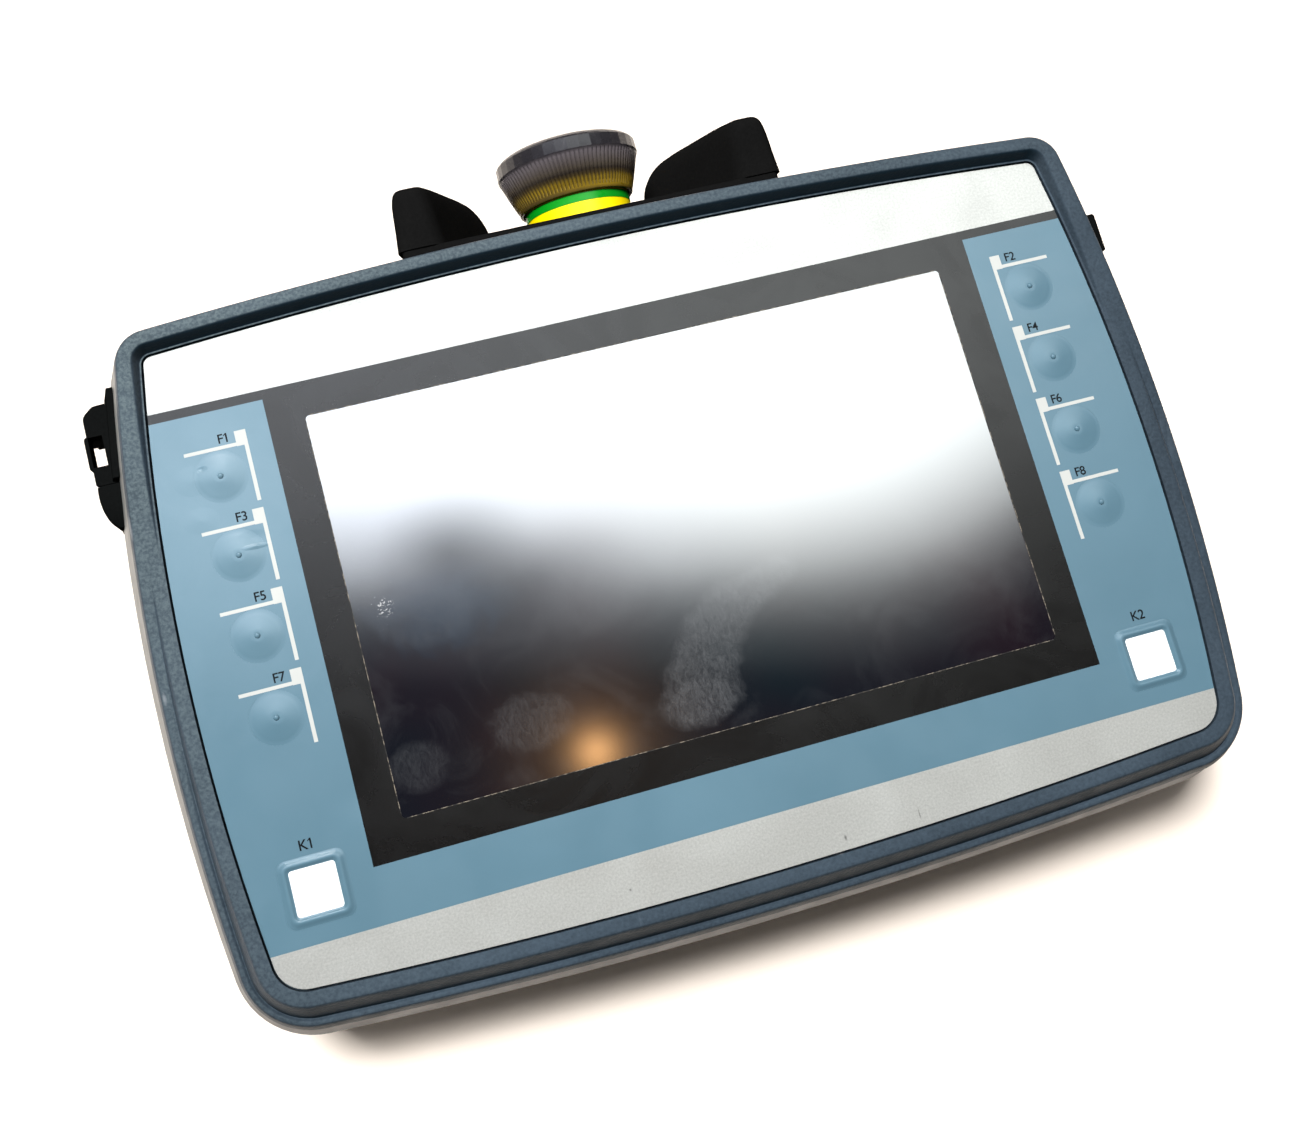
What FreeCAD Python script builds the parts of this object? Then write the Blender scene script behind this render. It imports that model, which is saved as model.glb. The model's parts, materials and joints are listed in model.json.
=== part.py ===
import FreeCAD, Part
import math
import os

# Hand-held operator panel with a 7 inch touch screen, an emergency stop on its top edge, ten keys
# and two enabling buttons at the back. It lies on its back: X runs to the right of the screen,
# Y up the screen, and Z out of the screen. The origin is on the plane of the rubber feet, straight
# below the middle of the screen. Millimetres.

os.makedirs("parts", exist_ok=True)
V = FreeCAD.Vector

# ---- driving dimensions -------------------------------------------------------------------------
face_z = 60.0                  # the front film's surface, above the feet
screen_w, screen_h = 152.4, 92.0

# the film's outline: four large arcs with rounded corners
side_x, side_mid_y, side_r = 112.9, -5.0, 485.0
top_y, top_r = 71.4, 1400.0
bottom_y, bottom_r = -78.3, 1450.0
top_corner_r, bottom_corner_r = 2.0, 7.0

# the outer wall flares towards the back, and the raised lip lies in a plane tilted about X
flare = 0.33                   # outward per millimetre of depth
wall_at_face = 6.4             # outer wall's offset from the film's outline, at the film's height
rim_at_face = 3.8              # the same for the rim around the film
rim_flare = 0.45
lip_slope = 0.0664
lip_pivot_y = 16.3             # where the lip is level with the film
lip_thick = 3.2
widest_z = face_z - 15.5       # the housing is widest here
tub_z = 24.0                   # outer face of the shallow part of the housing
hump_z = 2.0                   # outer face of the grip block at the back
wall = 3.0

film_t = 0.5
plate_t = 3.5                  # down to the back of the frame's front plate
groove = 0.45                  # gap between the film and the rim

# keys
key_x = 96.8
key_pitch = 18.3
key_top_y = 36.8
key_r = 5.9
key_h = 0.85
nub_r, nub_h = 0.5, 0.3
stem_r = 2.5
stem_z = face_z - 2.3
key_gap = 0.06
k_key_y = -55.3
k_key_size = 14.5
k_label = 10.0
k_ridge_h = 0.7

# display stack
pane_w, pane_h, pane_y = 168.6, 106.0, -1.1
lcd_w, lcd_h = 165.0, 104.0
board_x0, board_x1 = 87.0, 108.0
board_y0, board_y1 = -64.0, 48.0

# emergency stop: its axis lies in the plane x = 0 and leans to the front
stop_lean = math.radians(10.6)
stop_y, stop_z = 91.7, face_z - 24.3   # middle of the cap's lower rim
cap_low_r, cap_wide_r = 14.6, 18.15
seat_u = -7.5                  # top of the guard's base plate, along the stop's axis
guard_plate_t = 2.2

hump_x, hump_y0, hump_y1 = 48.0, -62.0, 74.0
button_y, button_len, button_h = 24.0, 56.0, 12.0
button_z = 15.0
gland_z = 15.0
guard_screw_x, guard_screw_v = 34.0, -6.0

nodes = []


# ---- helpers ------------------------------------------------------------------------------------
def save(name, *solids):
    shape = solids[0] if len(solids) == 1 else Part.makeCompound(list(solids))
    shape.exportStep("parts/" + name + ".step")
    nodes.append(name)


def box(x0, x1, y0, y1, z0, z1):
    return Part.makeBox(x1 - x0, y1 - y0, z1 - z0, V(x0, y0, z0))


def rod(x, y, z0, z1, r):
    return Part.makeCylinder(r, z1 - z0, V(x, y, z0))


def soft_box(x0, x1, y0, y1, z0, z1, r):
    """A box with its four upright edges rounded."""
    solid = box(x0, x1, y0, y1, z0, z1)
    upright = [e for e in solid.Edges if abs(e.tangentAt(e.FirstParameter).z) > 0.9]
    return solid.makeFillet(r, upright)


def rounded_polygon(points, radii):
    """A closed wire in the XY plane, with an arc of its own radius at each corner."""
    count = len(points)
    starts, ends, arcs = [], [], []
    for i in range(count):
        here = V(points[i][0], points[i][1], 0)
        before = V(points[i - 1][0], points[i - 1][1], 0) - here
        after = V(points[(i + 1) % count][0], points[(i + 1) % count][1], 0) - here
        before.normalize()
        after.normalize()
        half = before.getAngle(after) / 2
        reach = radii[i] / math.tan(half)
        inward = (before + after).normalize()
        middle = here + inward * (radii[i] / math.sin(half) - radii[i])
        starts.append(here + before * reach)
        ends.append(here + after * reach)
        arcs.append(Part.Arc(here + before * reach, middle, here + after * reach).toShape())
    edges = []
    for i in range(count):
        edges.append(arcs[i])
        edges.append(Part.LineSegment(ends[i], starts[(i + 1) % count]).toShape())
    return Part.Wire(edges)


def prism(points, radii, z0, z1):
    wire = rounded_polygon(points, radii)
    wire.translate(V(0, 0, z0))
    return Part.Face(wire).extrude(V(0, 0, z1 - z0))


def corner_centre(arc_y, arc_r, corner_r, sign):
    """The middle of the corner between the right side arc and the top (+1) or bottom (-1) arc."""
    side_c = V(side_x - side_r, side_mid_y, 0)
    end_c = V(0, arc_y - sign * arc_r, 0)
    r1, r2 = side_r - corner_r, arc_r - corner_r
    across = end_c - side_c
    d = across.Length
    along = (r1 * r1 - r2 * r2 + d * d) / (2 * d)
    up = math.sqrt(r1 * r1 - along * along)
    across.normalize()
    normal = V(-across.y, across.x, 0)
    hits = [side_c + across * along + normal * up, side_c + across * along - normal * up]
    return max(hits, key=lambda p: p.x)


def outline(offset, z):
    """The film's outline moved outward by offset, at height z, starting at the lower right."""
    corners = [(corner_centre(bottom_y, bottom_r, bottom_corner_r, -1), -1, bottom_y, bottom_r),
               (corner_centre(top_y, top_r, top_corner_r, 1), 1, top_y, top_r)]
    right = []
    for centre, sign, arc_y, arc_r in corners:
        side_c = V(side_x - side_r, side_mid_y, 0)
        end_c = V(0, arc_y - sign * arc_r, 0)
        side_hit = side_c + (centre - side_c).normalize() * (side_r + offset)
        end_hit = end_c + (centre - end_c).normalize() * (arc_r + offset)
        r = (side_hit - centre).Length
        middle = centre + ((side_hit - centre) + (end_hit - centre)).normalize() * r
        right.append((end_hit, middle, side_hit))
    low, high = right
    side_peak = V(side_x + offset, side_mid_y, 0)
    top_peak = V(0, top_y + offset, 0)
    bottom_peak = V(0, bottom_y - offset, 0)

    def flip(p):
        return V(-p.x, p.y, 0)

    points = [low[0], low[1], low[2], side_peak, high[2], high[1], high[0], top_peak,
              flip(high[0]), flip(high[1]), flip(high[2]), flip(side_peak),
              flip(low[2]), flip(low[1]), flip(low[0]), bottom_peak, low[0]]
    lifted = [V(p.x, p.y, z) for p in points]
    edges = [Part.Arc(lifted[i], lifted[i + 1], lifted[i + 2]).toShape() for i in range(0, 16, 2)]
    return Part.Wire(edges)


def flared(offset0, z0, offset1, z1):
    """A closed solid between the outline at two offsets and heights."""
    return Part.makeLoft([outline(offset0, z0), outline(offset1, z1)], True, True)


def wall_offset(z):
    return wall_at_face - flare * (z - face_z)


def rim_offset(z):
    return rim_at_face - rim_flare * (z - face_z)


def under_tilt(drop):
    """Everything below the lip's tilted plane lowered by drop."""
    solid = box(-200, 200, -200, 200, -150, 0)
    solid.rotate(V(0, 0, 0), V(1, 0, 0), math.degrees(math.atan(lip_slope)))
    solid.translate(V(0, lip_pivot_y, face_z - drop))
    return solid


def on_stop(shape):
    """Moves a shape made around the origin to the stop: its Z to the axis, its Y to the front."""
    direction = V(0, math.cos(stop_lean), math.sin(stop_lean))
    turn = FreeCAD.Rotation(V(0, 0, 1), direction).multiply(FreeCAD.Rotation(V(0, 0, 1), 180))
    onto_axis = FreeCAD.Placement(V(0, stop_y, stop_z), turn)
    moved = shape.copy()
    moved.Placement = onto_axis.multiply(shape.Placement)
    return moved


def turned(profile):
    """A solid of revolution about Z from (radius, height) points."""
    points = [V(r, 0, h) for r, h in profile]
    wire = Part.makePolygon(points + [points[0]])
    return Part.Face(wire).revolve(V(0, 0, 0), V(0, 0, 1), 360)


# ---- places that several pieces share -----------------------------------------------------------
f_keys = []
for row in range(4):
    for side in (-1, 1):
        f_keys.append((side * key_x, key_top_y - row * key_pitch))
k_keys = [(-key_x, k_key_y), (key_x, k_key_y)]
carrier_bosses = [(x, y) for x in (-80, 0, 80) for y in (-57.5, 54.5)]
housing_bosses = [(x, y) for x in (-98, -60, 60, 98) for y in (-70.5, 62)]
board_posts = [(x, y) for x in (-70, 70) for y in (-52, 28)]
terminal_posts = [(x, y) for x in (-38, 38) for y in (-50, -18)]
cover_holes = [(x, y) for x in (-32, 32) for y in (-40, -12)]
feet_y = (-52.0, 0.0, 62.0)
carrier_z = face_z - 8.4
board_z = face_z - 18.0
boss_split_z = face_z - 12.0


# ---- front --------------------------------------------------------------------------------------
def front_frame():
    """The bumper: a tilted lip, the rim around the film, and the plate behind the film."""
    low_z, high_z = face_z - 12.0, face_z + 6.0
    outer = flared(wall_offset(low_z), low_z, wall_offset(high_z), high_z)
    lip = outer.common(under_tilt(0)).cut(under_tilt(lip_thick))
    rim = flared(rim_offset(low_z), low_z, rim_offset(face_z + 0.3), face_z + 0.3)
    rim = rim.cut(under_tilt(lip_thick))
    plate = flared(2.6, face_z - plate_t, 2.6, face_z + 0.2)
    body = lip.fuse([rim, plate])
    body = body.cut(flared(0.8, face_z + 0.3, 2.6, face_z + 6.2))
    body = body.cut(flared(groove, face_z - film_t, groove, face_z + 1))
    body = body.cut(flared(1.0, face_z - 20, 1.0, face_z - plate_t))
    bosses = [rod(x, y, carrier_z + 1.5, face_z - 3, 2.6) for x, y in carrier_bosses]
    bosses += [rod(x, y, boss_split_z, face_z - 3, 3.6) for x, y in housing_bosses]
    body = body.fuse(bosses)
    half_w, half_h = pane_w / 2 + 0.2, pane_h / 2 + 0.2
    cuts = [box(-half_w, half_w, pane_y - half_h, pane_y + half_h, face_z - 10, face_z + 1)]
    cuts += [rod(x, y, face_z - 10, face_z + 1, key_r + 0.4) for x, y in f_keys]
    half = k_key_size / 2 + 0.4
    cuts += [box(x - half, x + half, y - half, y + half, face_z - 10, face_z + 1) for x, y in k_keys]
    cuts += [rod(x, y, face_z - 10, face_z - 2, 1.05) for x, y in carrier_bosses]
    cuts += [rod(x, y, face_z - 13, face_z - 2.5, 1.55) for x, y in housing_bosses]
    return body.cut(cuts)


def keypad_overlay():
    film = flared(0, face_z - film_t, 0, face_z)
    window = soft_box(-screen_w / 2, screen_w / 2, -screen_h / 2, screen_h / 2, face_z - 2, face_z + 1, 1)
    holes = [rod(x, y, face_z - 2, face_z + 1, key_r + key_gap) for x, y in f_keys]
    half = k_key_size / 2 + key_gap
    holes += [soft_box(x - half, x + half, y - half, y + half, face_z - 2, face_z + 1, 2)
              for x, y in k_keys]
    return film.cut([window] + holes)


def f_key(x, y):
    """A shallow embossed cone with a centring nub, its film disc and its push stem."""
    profile = [(0, stem_z), (stem_r, stem_z), (stem_r, face_z - film_t), (key_r, face_z - film_t),
               (key_r, face_z), (key_r - 0.6, face_z + 0.22), (1.2, face_z + key_h),
               (nub_r, face_z + key_h), (nub_r, face_z + key_h + nub_h), (0, face_z + key_h + nub_h)]
    key = turned(profile)
    key.translate(V(x, y, 0))
    return key


def k_key(x, y):
    """A square film panel with a rounded ridge around a flat label field."""
    half = k_key_size / 2
    inner = k_label / 2 + 0.4
    body = soft_box(x - half, x + half, y - half, y + half, face_z - film_t, face_z + k_ridge_h, 2)
    field = soft_box(x - inner, x + inner, y - inner, y + inner, face_z + 0.1, face_z + 2, 0.8)
    stem = rod(x, y, stem_z, face_z - film_t, stem_r)
    return body.cut(field).fuse(stem)


def touch_pane():
    half_w, half_h = pane_w / 2, pane_h / 2
    flange = box(-half_w, half_w, pane_y - half_h, pane_y + half_h, face_z - 1.6, face_z - film_t)
    clear_w, clear_h = screen_w / 2 - 0.05, screen_h / 2 - 0.05
    window = soft_box(-clear_w, clear_w, -clear_h, clear_h, face_z - 1, face_z - 0.08, 0.95)
    return flange.fuse(window)


def lcd_parts():
    """A folded metal bezel with the glass cell and the backlight inside it."""
    def plan(w, h, z0, z1):
        return box(-w / 2, w / 2, -h / 2 + pane_y, h / 2 + pane_y, z0, z1)
    bezel = plan(lcd_w, lcd_h, face_z - 6.8, face_z - 1.65)
    bezel = bezel.cut(plan(lcd_w - 1.2, lcd_h - 1.2, face_z - 7, face_z - 2.0))
    view = box(-screen_w / 2 - 0.4, screen_w / 2 + 0.4, -screen_h / 2 - 0.3, screen_h / 2 + 0.3,
               face_z - 3, face_z)
    cell = plan(lcd_w - 1.6, lcd_h - 1.6, face_z - 3.2, face_z - 2.0)
    light = plan(lcd_w - 1.6, lcd_h - 1.6, face_z - 6.8, face_z - 3.2)
    save("lcd_bezel", bezel.cut(view))
    save("lcd_cell", cell)
    save("backlight_unit", light)


def carrier_plate():
    plate = soft_box(-86, 86, -61, 58, carrier_z, carrier_z + 1.5, 3)
    holes = [rod(x, y, carrier_z - 1, carrier_z + 2, 1.3) for x, y in carrier_bosses]
    holes += [rod(x, y, carrier_z - 1, carrier_z + 2, 1.3) for x, y in board_posts]
    slot = box(-20, 20, -40, -30, carrier_z - 1, carrier_z + 2)
    return plate.cut(holes + [slot])


def key_board(side):
    x0, x1 = sorted((side * board_x0, side * board_x1))
    return box(x0, x1, board_y0, board_y1, face_z - 5.2, face_z - 3.6)


def dome_switch(x, y):
    return Part.makeCone(4.0, 2.6, 0.7, V(x, y, face_z - 3.6))


# ---- housing ------------------------------------------------------------------------------------
def hump_shape(inset, low_z, high_z, edge):
    """The grip block at the back, with a rounded edge of radius edge towards the table."""
    def section(z, shrink):
        x = hump_x - inset - shrink
        points = [(-x, hump_y0 + inset + shrink), (x, hump_y0 + inset + shrink),
                  (x, hump_y1 - inset), (-x, hump_y1 - inset)]
        wire = rounded_polygon(points, [10 - inset] * 4)
        wire.translate(V(0, 0, z))
        return wire
    turns = [math.radians(18 * step) for step in range(6)]
    sections = [section(low_z + edge * (1 - math.cos(a)), edge * (1 - math.sin(a))) for a in turns]
    return Part.makeLoft(sections + [section(high_z, 0)], True, True)


def tub_shape(inset, low_z):
    """The shallow part of the housing, rounded from its widest line in to its flat back."""
    steps = 7
    low_offset = max(-1.0 - inset, -1.5)
    sections = []
    for step in range(steps + 1):
        rise = math.sin(math.radians(90) * step / steps)
        reach = (1 - (1 - rise) ** 2.4) ** (1 / 2.4)
        offset = low_offset + (wall_offset(widest_z) - inset - low_offset) * reach
        sections.append(outline(offset, low_z + (widest_z - low_z) * rise))
    return Part.makeLoft(sections, True, True)


def side_walls(gap):
    """The housing's outer surface moved out by gap, to trim what lies against it."""
    above = flared(wall_offset(widest_z) + gap, widest_z, wall_offset(face_z + 6) + gap, face_z + 6)
    return above.fuse(tub_shape(-gap, tub_z))


def tower(inset, low_u, high_u):
    """The block behind the emergency stop, square to its axis."""
    half = 46.8 - inset
    points = [(-half, -25 + inset), (half, -25 + inset), (half, 20.5 - inset), (-half, 20.5 - inset)]
    return on_stop(prism(points, [6 - inset] * 4, low_u, high_u))


def rear_housing():
    floor = seat_u - guard_plate_t
    outer = side_walls(0).fuse([hump_shape(0, hump_z, tub_z + 12, 5), tower(0, -24, floor)])
    above_seat = box(-49, 49, -60, 60, floor, floor + 40)
    outer = outer.cut(on_stop(above_seat)).common(under_tilt(lip_thick))
    hollow = flared(wall_offset(widest_z) - wall, widest_z, wall_offset(face_z + 6) - wall, face_z + 6)
    hollow = hollow.fuse([tub_shape(wall, tub_z + wall), hump_shape(wall, hump_z + wall, tub_z + 12, 1.5)])
    keep_seat = tower(0, floor - 5.0, floor)
    hollow = hollow.fuse(tower(wall, -24, floor - 5.0)).cut(keep_seat)
    shell = outer.cut(hollow)
    posts = [rod(x, y, tub_z + 1, boss_split_z, 4.2) for x, y in housing_bosses]
    posts += [rod(x, y, hump_z + 1, 18, 3.2) for x, y in terminal_posts]
    shell = shell.fuse(posts)
    gasket_groove = gasket_ring(0.05)
    cuts = [gasket_groove]
    cuts += [rod(x, y, tub_z - 25, 40, 3.2) for x, y in housing_bosses]
    cuts += [rod(x, y, 39, 60, 1.8) for x, y in housing_bosses]
    cuts += [rod(x, y, 8, 20, 1.05) for x, y in terminal_posts]
    cuts += [rod(x, y, 0, 12, 1.05) for x, y in cover_holes]
    cuts.append(on_stop(rod(0, 0, -40, 0, 11.1)))
    cuts += [on_stop(rod(x, guard_screw_v, -20, 0, 1.25)) for x in (-guard_screw_x, guard_screw_x)]
    cuts.append(service_opening())
    for side in (-1, 1):
        x0, x1 = sorted((side * (hump_x - 6), side * (hump_x + 3)))
        cuts.append(box(x0, x1, button_y - button_len / 2 - 0.3, button_y + button_len / 2 + 0.3,
                        button_z - button_h / 2 - 0.3, button_z + button_h / 2 + 0.3))
    gland_bore = Part.makeCylinder(8.1, 20, V(0, hump_y0 + 10, gland_z), V(0, -1, 0))
    cuts.append(gland_bore)
    for y in feet_y:
        cuts.append(foot(y, 0.1))
    cuts.append(port_hole())
    cuts.append(service_hole())
    return shell.cut(cuts)


def gasket_ring(gap):
    """A square seal that lies in the housing's tilted edge."""
    low_z, high_z = face_z - 14, face_z + 6
    out = flared(wall_offset(low_z) - 0.9 + gap, low_z, wall_offset(high_z) - 0.9 + gap, high_z)
    inner = flared(wall_offset(low_z) - 1.9 - gap, low_z, wall_offset(high_z) - 1.9 - gap, high_z)
    return out.cut(inner).common(under_tilt(lip_thick)).cut(under_tilt(lip_thick + 1.2 + gap))


def foot(y, gap):
    half = 36 + gap
    return soft_box(-half, half, y - 4 - gap, y + 4 + gap, 0, hump_z + 0.8, 3)


def service_opening():
    lower = soft_box(-36.2, 36.2, -44.2, -7.8, hump_z - 1, hump_z + 1.6, 3)
    throat = soft_box(-28, 28, -40, -12, hump_z - 1, hump_z + 6, 2)
    return lower.fuse(throat)


def service_cover():
    plate = soft_box(-36, 36, -44, -8, hump_z, hump_z + 1.55, 3)
    return plate.cut([rod(x, y, 0, 5, 1.4) for x, y in cover_holes])


def screw(x, y, head_z, head_r, head_h, shank_r, shank_len):
    """A pan-head screw that is driven upward, its head below its shank."""
    head = rod(x, y, head_z - head_h, head_z, head_r)
    slot = box(x - head_r * 0.6, x + head_r * 0.6, y - 0.35, y + 0.35,
               head_z - head_h - 1, head_z - head_h / 2)
    return head.cut(slot).fuse(rod(x, y, head_z, head_z + shank_len, shank_r))


# ---- left port cover and right service cap ------------------------------------------------------
port_z = face_z - 15.0
port_y = 53.0
lug_x = -126.2                 # the outermost point of the cover
hinge_y = 43.8                 # the cover bends here, between its lobe and its tail
cap_y, cap_z = 49.4, face_z - 14.4


def port_hole():
    return box(-130, -105, port_y - 7, port_y + 7, port_z - 4.4, port_z + 4.4)


def usb_socket():
    """A metal shell with its tongue, facing the side of the panel."""
    shell = box(-119.0, -105.4, port_y - 6.8, port_y + 6.8, port_z - 3.4, port_z + 3.4)
    mouth = box(-120, -107, port_y - 6.2, port_y + 6.2, port_z - 2.6, port_z + 2.6)
    return shell.cut(mouth)


def port_cover():
    """A rubber flap: a sealing flange along the wall, a thick lobe and a pull lug with a slot through it."""
    low_y = hinge_y + 0.2
    flange = box(-130, -100, low_y + 0.4, 65.3, port_z - 6.5, port_z + 7.5).common(side_walls(1.6))
    lobe = prism([(-125.4, low_y), (-116, low_y), (-116, 62.8), (-122.6, 62.8), (-125.3, 60.6)],
                 [0.4, 0.1, 0.1, 1.6, 2.2], port_z - 5.0, port_z + 5.0)
    lug = prism([(lug_x, 47.9), (-122.0, 47.9), (-122.0, 56.1), (lug_x, 56.1)], [0.8, 0.3, 0.3, 0.8],
                port_z - 3.4, port_z + 4.2)
    slot = box(-125.1, -121.9, 48.4, 55.6, port_z - 9, port_z + 9)
    return flange.fuse([lobe, lug]).cut([side_walls(0.12), slot])


def port_strap():
    """The tail that keeps the cover on the panel, tapering down to the wall."""
    top = hinge_y - 0.2
    points = [(-125.4, top), (-116, top), (-116, 31.6), (-121.6, 31.6), (-125.4, 39.2)]
    tail = prism(points, [0.4, 0.1, 0.1, 1.2, 7], port_z - 5.0, port_z + 5.0)
    return tail.cut(side_walls(0.02))


def service_hole():
    return Part.makeCylinder(3.6, 30, V(105, cap_y, cap_z), V(1, 0, 0))


def service_cap():
    """A rubber plug with a flat rectangular head, pressed into a round hole in the right wall."""
    head = box(118.0, 124.7, cap_y - 5.0, cap_y + 5.0, cap_z - 4.6, cap_z + 4.6)
    rounded = [e for e in head.Edges if e.BoundBox.XMin > 124]
    head = head.makeFillet(1.0, rounded)
    stem = Part.makeCylinder(3.5, 9.0, V(113.0, cap_y, cap_z), V(1, 0, 0))
    return head.cut(side_walls(0.15)).fuse(stem)


# ---- emergency stop -----------------------------------------------------------------------------
def stop_base():
    """The fixed collar and threaded barrel, with a chamber for the spring."""
    profile = [(8.6, -23), (5.1, -23), (5.1, -24), (10.9, -24), (10.9, seat_u), (13.4, seat_u),
               (13.4, -2.2), (12.9, -2.2), (12.9, -0.2), (13.4, -0.2), (13.4, 3.5), (8.6, 3.5)]
    return on_stop(turned(profile))


def stop_ring():
    return on_stop(turned([(12.9, -2.2), (13.5, -2.2), (13.5, -0.2), (12.9, -0.2)]))


def stop_cap():
    """A flared mushroom skirt with a crowned top and a socket for the plunger."""
    profile = [(13.8, 0), (cap_low_r, 0), (cap_wide_r, 10.9), (17.9, 12.4), (16.6, 13.6), (11, 14.7),
               (0, 15.2), (0, 12.0), (4.05, 12.0), (4.05, 8.2), (13.8, 8.2)]
    return on_stop(turned(profile))


def stop_plunger():
    """The push rod, with the collar that guides it and presses the spring."""
    profile = [(0, -28), (5.0, -28), (5.0, -2), (8.3, -2), (8.3, 0), (5.0, 0), (5.0, 8.1),
               (4.0, 8.1), (4.0, 11.9), (0, 11.9)]
    return on_stop(turned(profile))


def stop_spring():
    wire_r, mean_r, low, high, turns = 0.55, 6.9, -22.3, -6.9, 5
    path = Part.makeHelix((high - low) / turns, high - low, mean_r)
    ring = Part.Wire(Part.makeCircle(wire_r, V(mean_r, 0, 0), V(0, 1, 0)))
    coil = Part.Wire(path).makePipeShell([ring], True, True)
    coil.translate(V(0, 0, low))
    return on_stop(coil)


def stop_nut():
    nut = rod(0, 0, -18.7, -14.72, 15).cut(rod(0, 0, -20, -14, 10.95))
    flats = prism([(14.5 * math.cos(math.radians(60 * i)), 14.5 * math.sin(math.radians(60 * i)))
                   for i in range(6)], [0.5] * 6, -20, -14)
    return on_stop(nut.common(flats))


def contact_block():
    block = soft_box(-15, 15, -15, 15, -47, -24.02, 2)
    bore = rod(0, 0, -33, -20, 5.4)
    return on_stop(block.cut(bore))


def contact_terminals():
    pins = []
    for x in (-9, -3, 3, 9):
        for v in (-10, 10):
            pins.append(on_stop(rod(x, v, -50, -47, 1.4)))
    return pins


# ---- guard --------------------------------------------------------------------------------------
def guard_horn(side):
    """A wall that sweeps back and inward beside the stop, higher at its back end."""
    points = [(46.5, 24), (37.5, 24), (25.0, -17), (21.6, -23.5), (33, -24.5), (40.5, -10)]
    plan = prism([(side * x, v) for x, v in points], [1.5, 2.5, 6, 1, 3, 20], seat_u - 0.3, 12)
    heights = [(24.5, seat_u - 1), (24.5, 6.7), (-17.5, 9.4), (-25, 2.0), (-25, seat_u - 1)]
    side_view = rounded_polygon(heights, [0.5, 3.5, 6, 3, 0.5])
    profile = Part.Face(side_view).extrude(V(0, 0, 100))
    turn = FreeCAD.Placement(V(-50, 0, 0), FreeCAD.Rotation(V(0, 1, 0), V(0, 0, 1), V(1, 0, 0), "ZXY"))
    profile.Placement = turn
    return plan.common(profile)


def guard_collar():
    floor = seat_u - guard_plate_t
    points = [(-46.8, -25), (46.8, -25), (46.8, 24), (-46.8, 24)]
    plate = prism(points, [6, 6, 1.5, 1.5], floor, seat_u)
    body = plate.fuse([guard_horn(-1), guard_horn(1)]).cut(rod(0, 0, -20, 20, 11.1))
    body = body.cut([rod(x, guard_screw_v, -20, -3.5, 1.25) for x in (-guard_screw_x, guard_screw_x)])
    clear = on_stop(body)
    return clear.cut(flared(wall_offset(face_z - 3), face_z - 2.6, wall_offset(face_z + 6), face_z + 6))


def guard_screw(x):
    """A screw from inside the housing, through the seat, into the foot of a horn."""
    seat_back = seat_u - guard_plate_t - 5.0
    head = rod(x, guard_screw_v, seat_back - 2.0, seat_back, 2.6)
    return on_stop(head.fuse(rod(x, guard_screw_v, seat_back, -4.0, 1.2)))


# ---- back controls ------------------------------------------------------------------------------
def enable_button(side):
    """A long paddle in the grip block's wall, with an inner flange that holds it in."""
    half_y, half_z = button_len / 2, button_h / 2
    pad = box(hump_x - 4.4, hump_x + 3.6, button_y - half_y, button_y + half_y,
              button_z - half_z, button_z + half_z)
    long_edges = [e for e in pad.Edges if e.BoundBox.XMin > hump_x + 3]
    pad = pad.makeFillet(1.6, long_edges)
    flange = box(hump_x - 6.4, hump_x - 4.4, button_y - half_y - 1.5, button_y + half_y + 1.5,
                 button_z - half_z - 0.8, button_z + half_z + 1.2)
    button = pad.fuse(flange)
    if side < 0:
        button = button.mirror(V(0, 0, 0), V(1, 0, 0))
    return button


def enable_switch(side):
    block = soft_box(hump_x - 21, hump_x - 11.2, button_y - 14, button_y + 14, hump_z + wall, button_z + 8, 1)
    nib = Part.makeCylinder(2.2, 1.6, V(hump_x - 11.2, button_y, button_z), V(1, 0, 0))
    switch = block.fuse(nib)
    if side < 0:
        switch = switch.mirror(V(0, 0, 0), V(1, 0, 0))
    return switch


# ---- electronics --------------------------------------------------------------------------------
def main_board():
    board = soft_box(-75, 75, -57, 33, board_z, board_z + 1.6, 2)
    return board.cut([rod(x, y, board_z - 1, board_z + 3, 1.3) for x, y in board_posts])


def hex_post(x, y, z0, z1):
    points = [(x + 2.9 * math.cos(math.radians(60 * i)), y + 2.9 * math.sin(math.radians(60 * i)))
              for i in range(6)]
    return prism(points, [0.3] * 6, z0, z1).cut(rod(x, y, z0 - 1, z1 + 1, 1.25))


def heat_spreader():
    plate = box(-28, 28, -24, 16, board_z - 3.9, board_z - 2.2)
    fins = [box(x, x + 1.4, -24, 16, board_z - 9, board_z - 3.9) for x in range(-28, 28, 6)]
    return plate.fuse(fins)


def ribbon(side):
    """A flat cable from a key board down to the main board."""
    inner, outer = side * 74.0, side * 90.0
    x0, x1 = sorted((outer, outer + side * 0.5))
    drop = box(x0, x1, -10, 6, board_z + 2.4, face_z - 5.2)
    x0, x1 = sorted((inner - side * 6, outer + side * 0.5))
    run = box(x0, x1, -10, 6, board_z + 1.9, board_z + 2.4)
    return drop.fuse(run)


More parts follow.
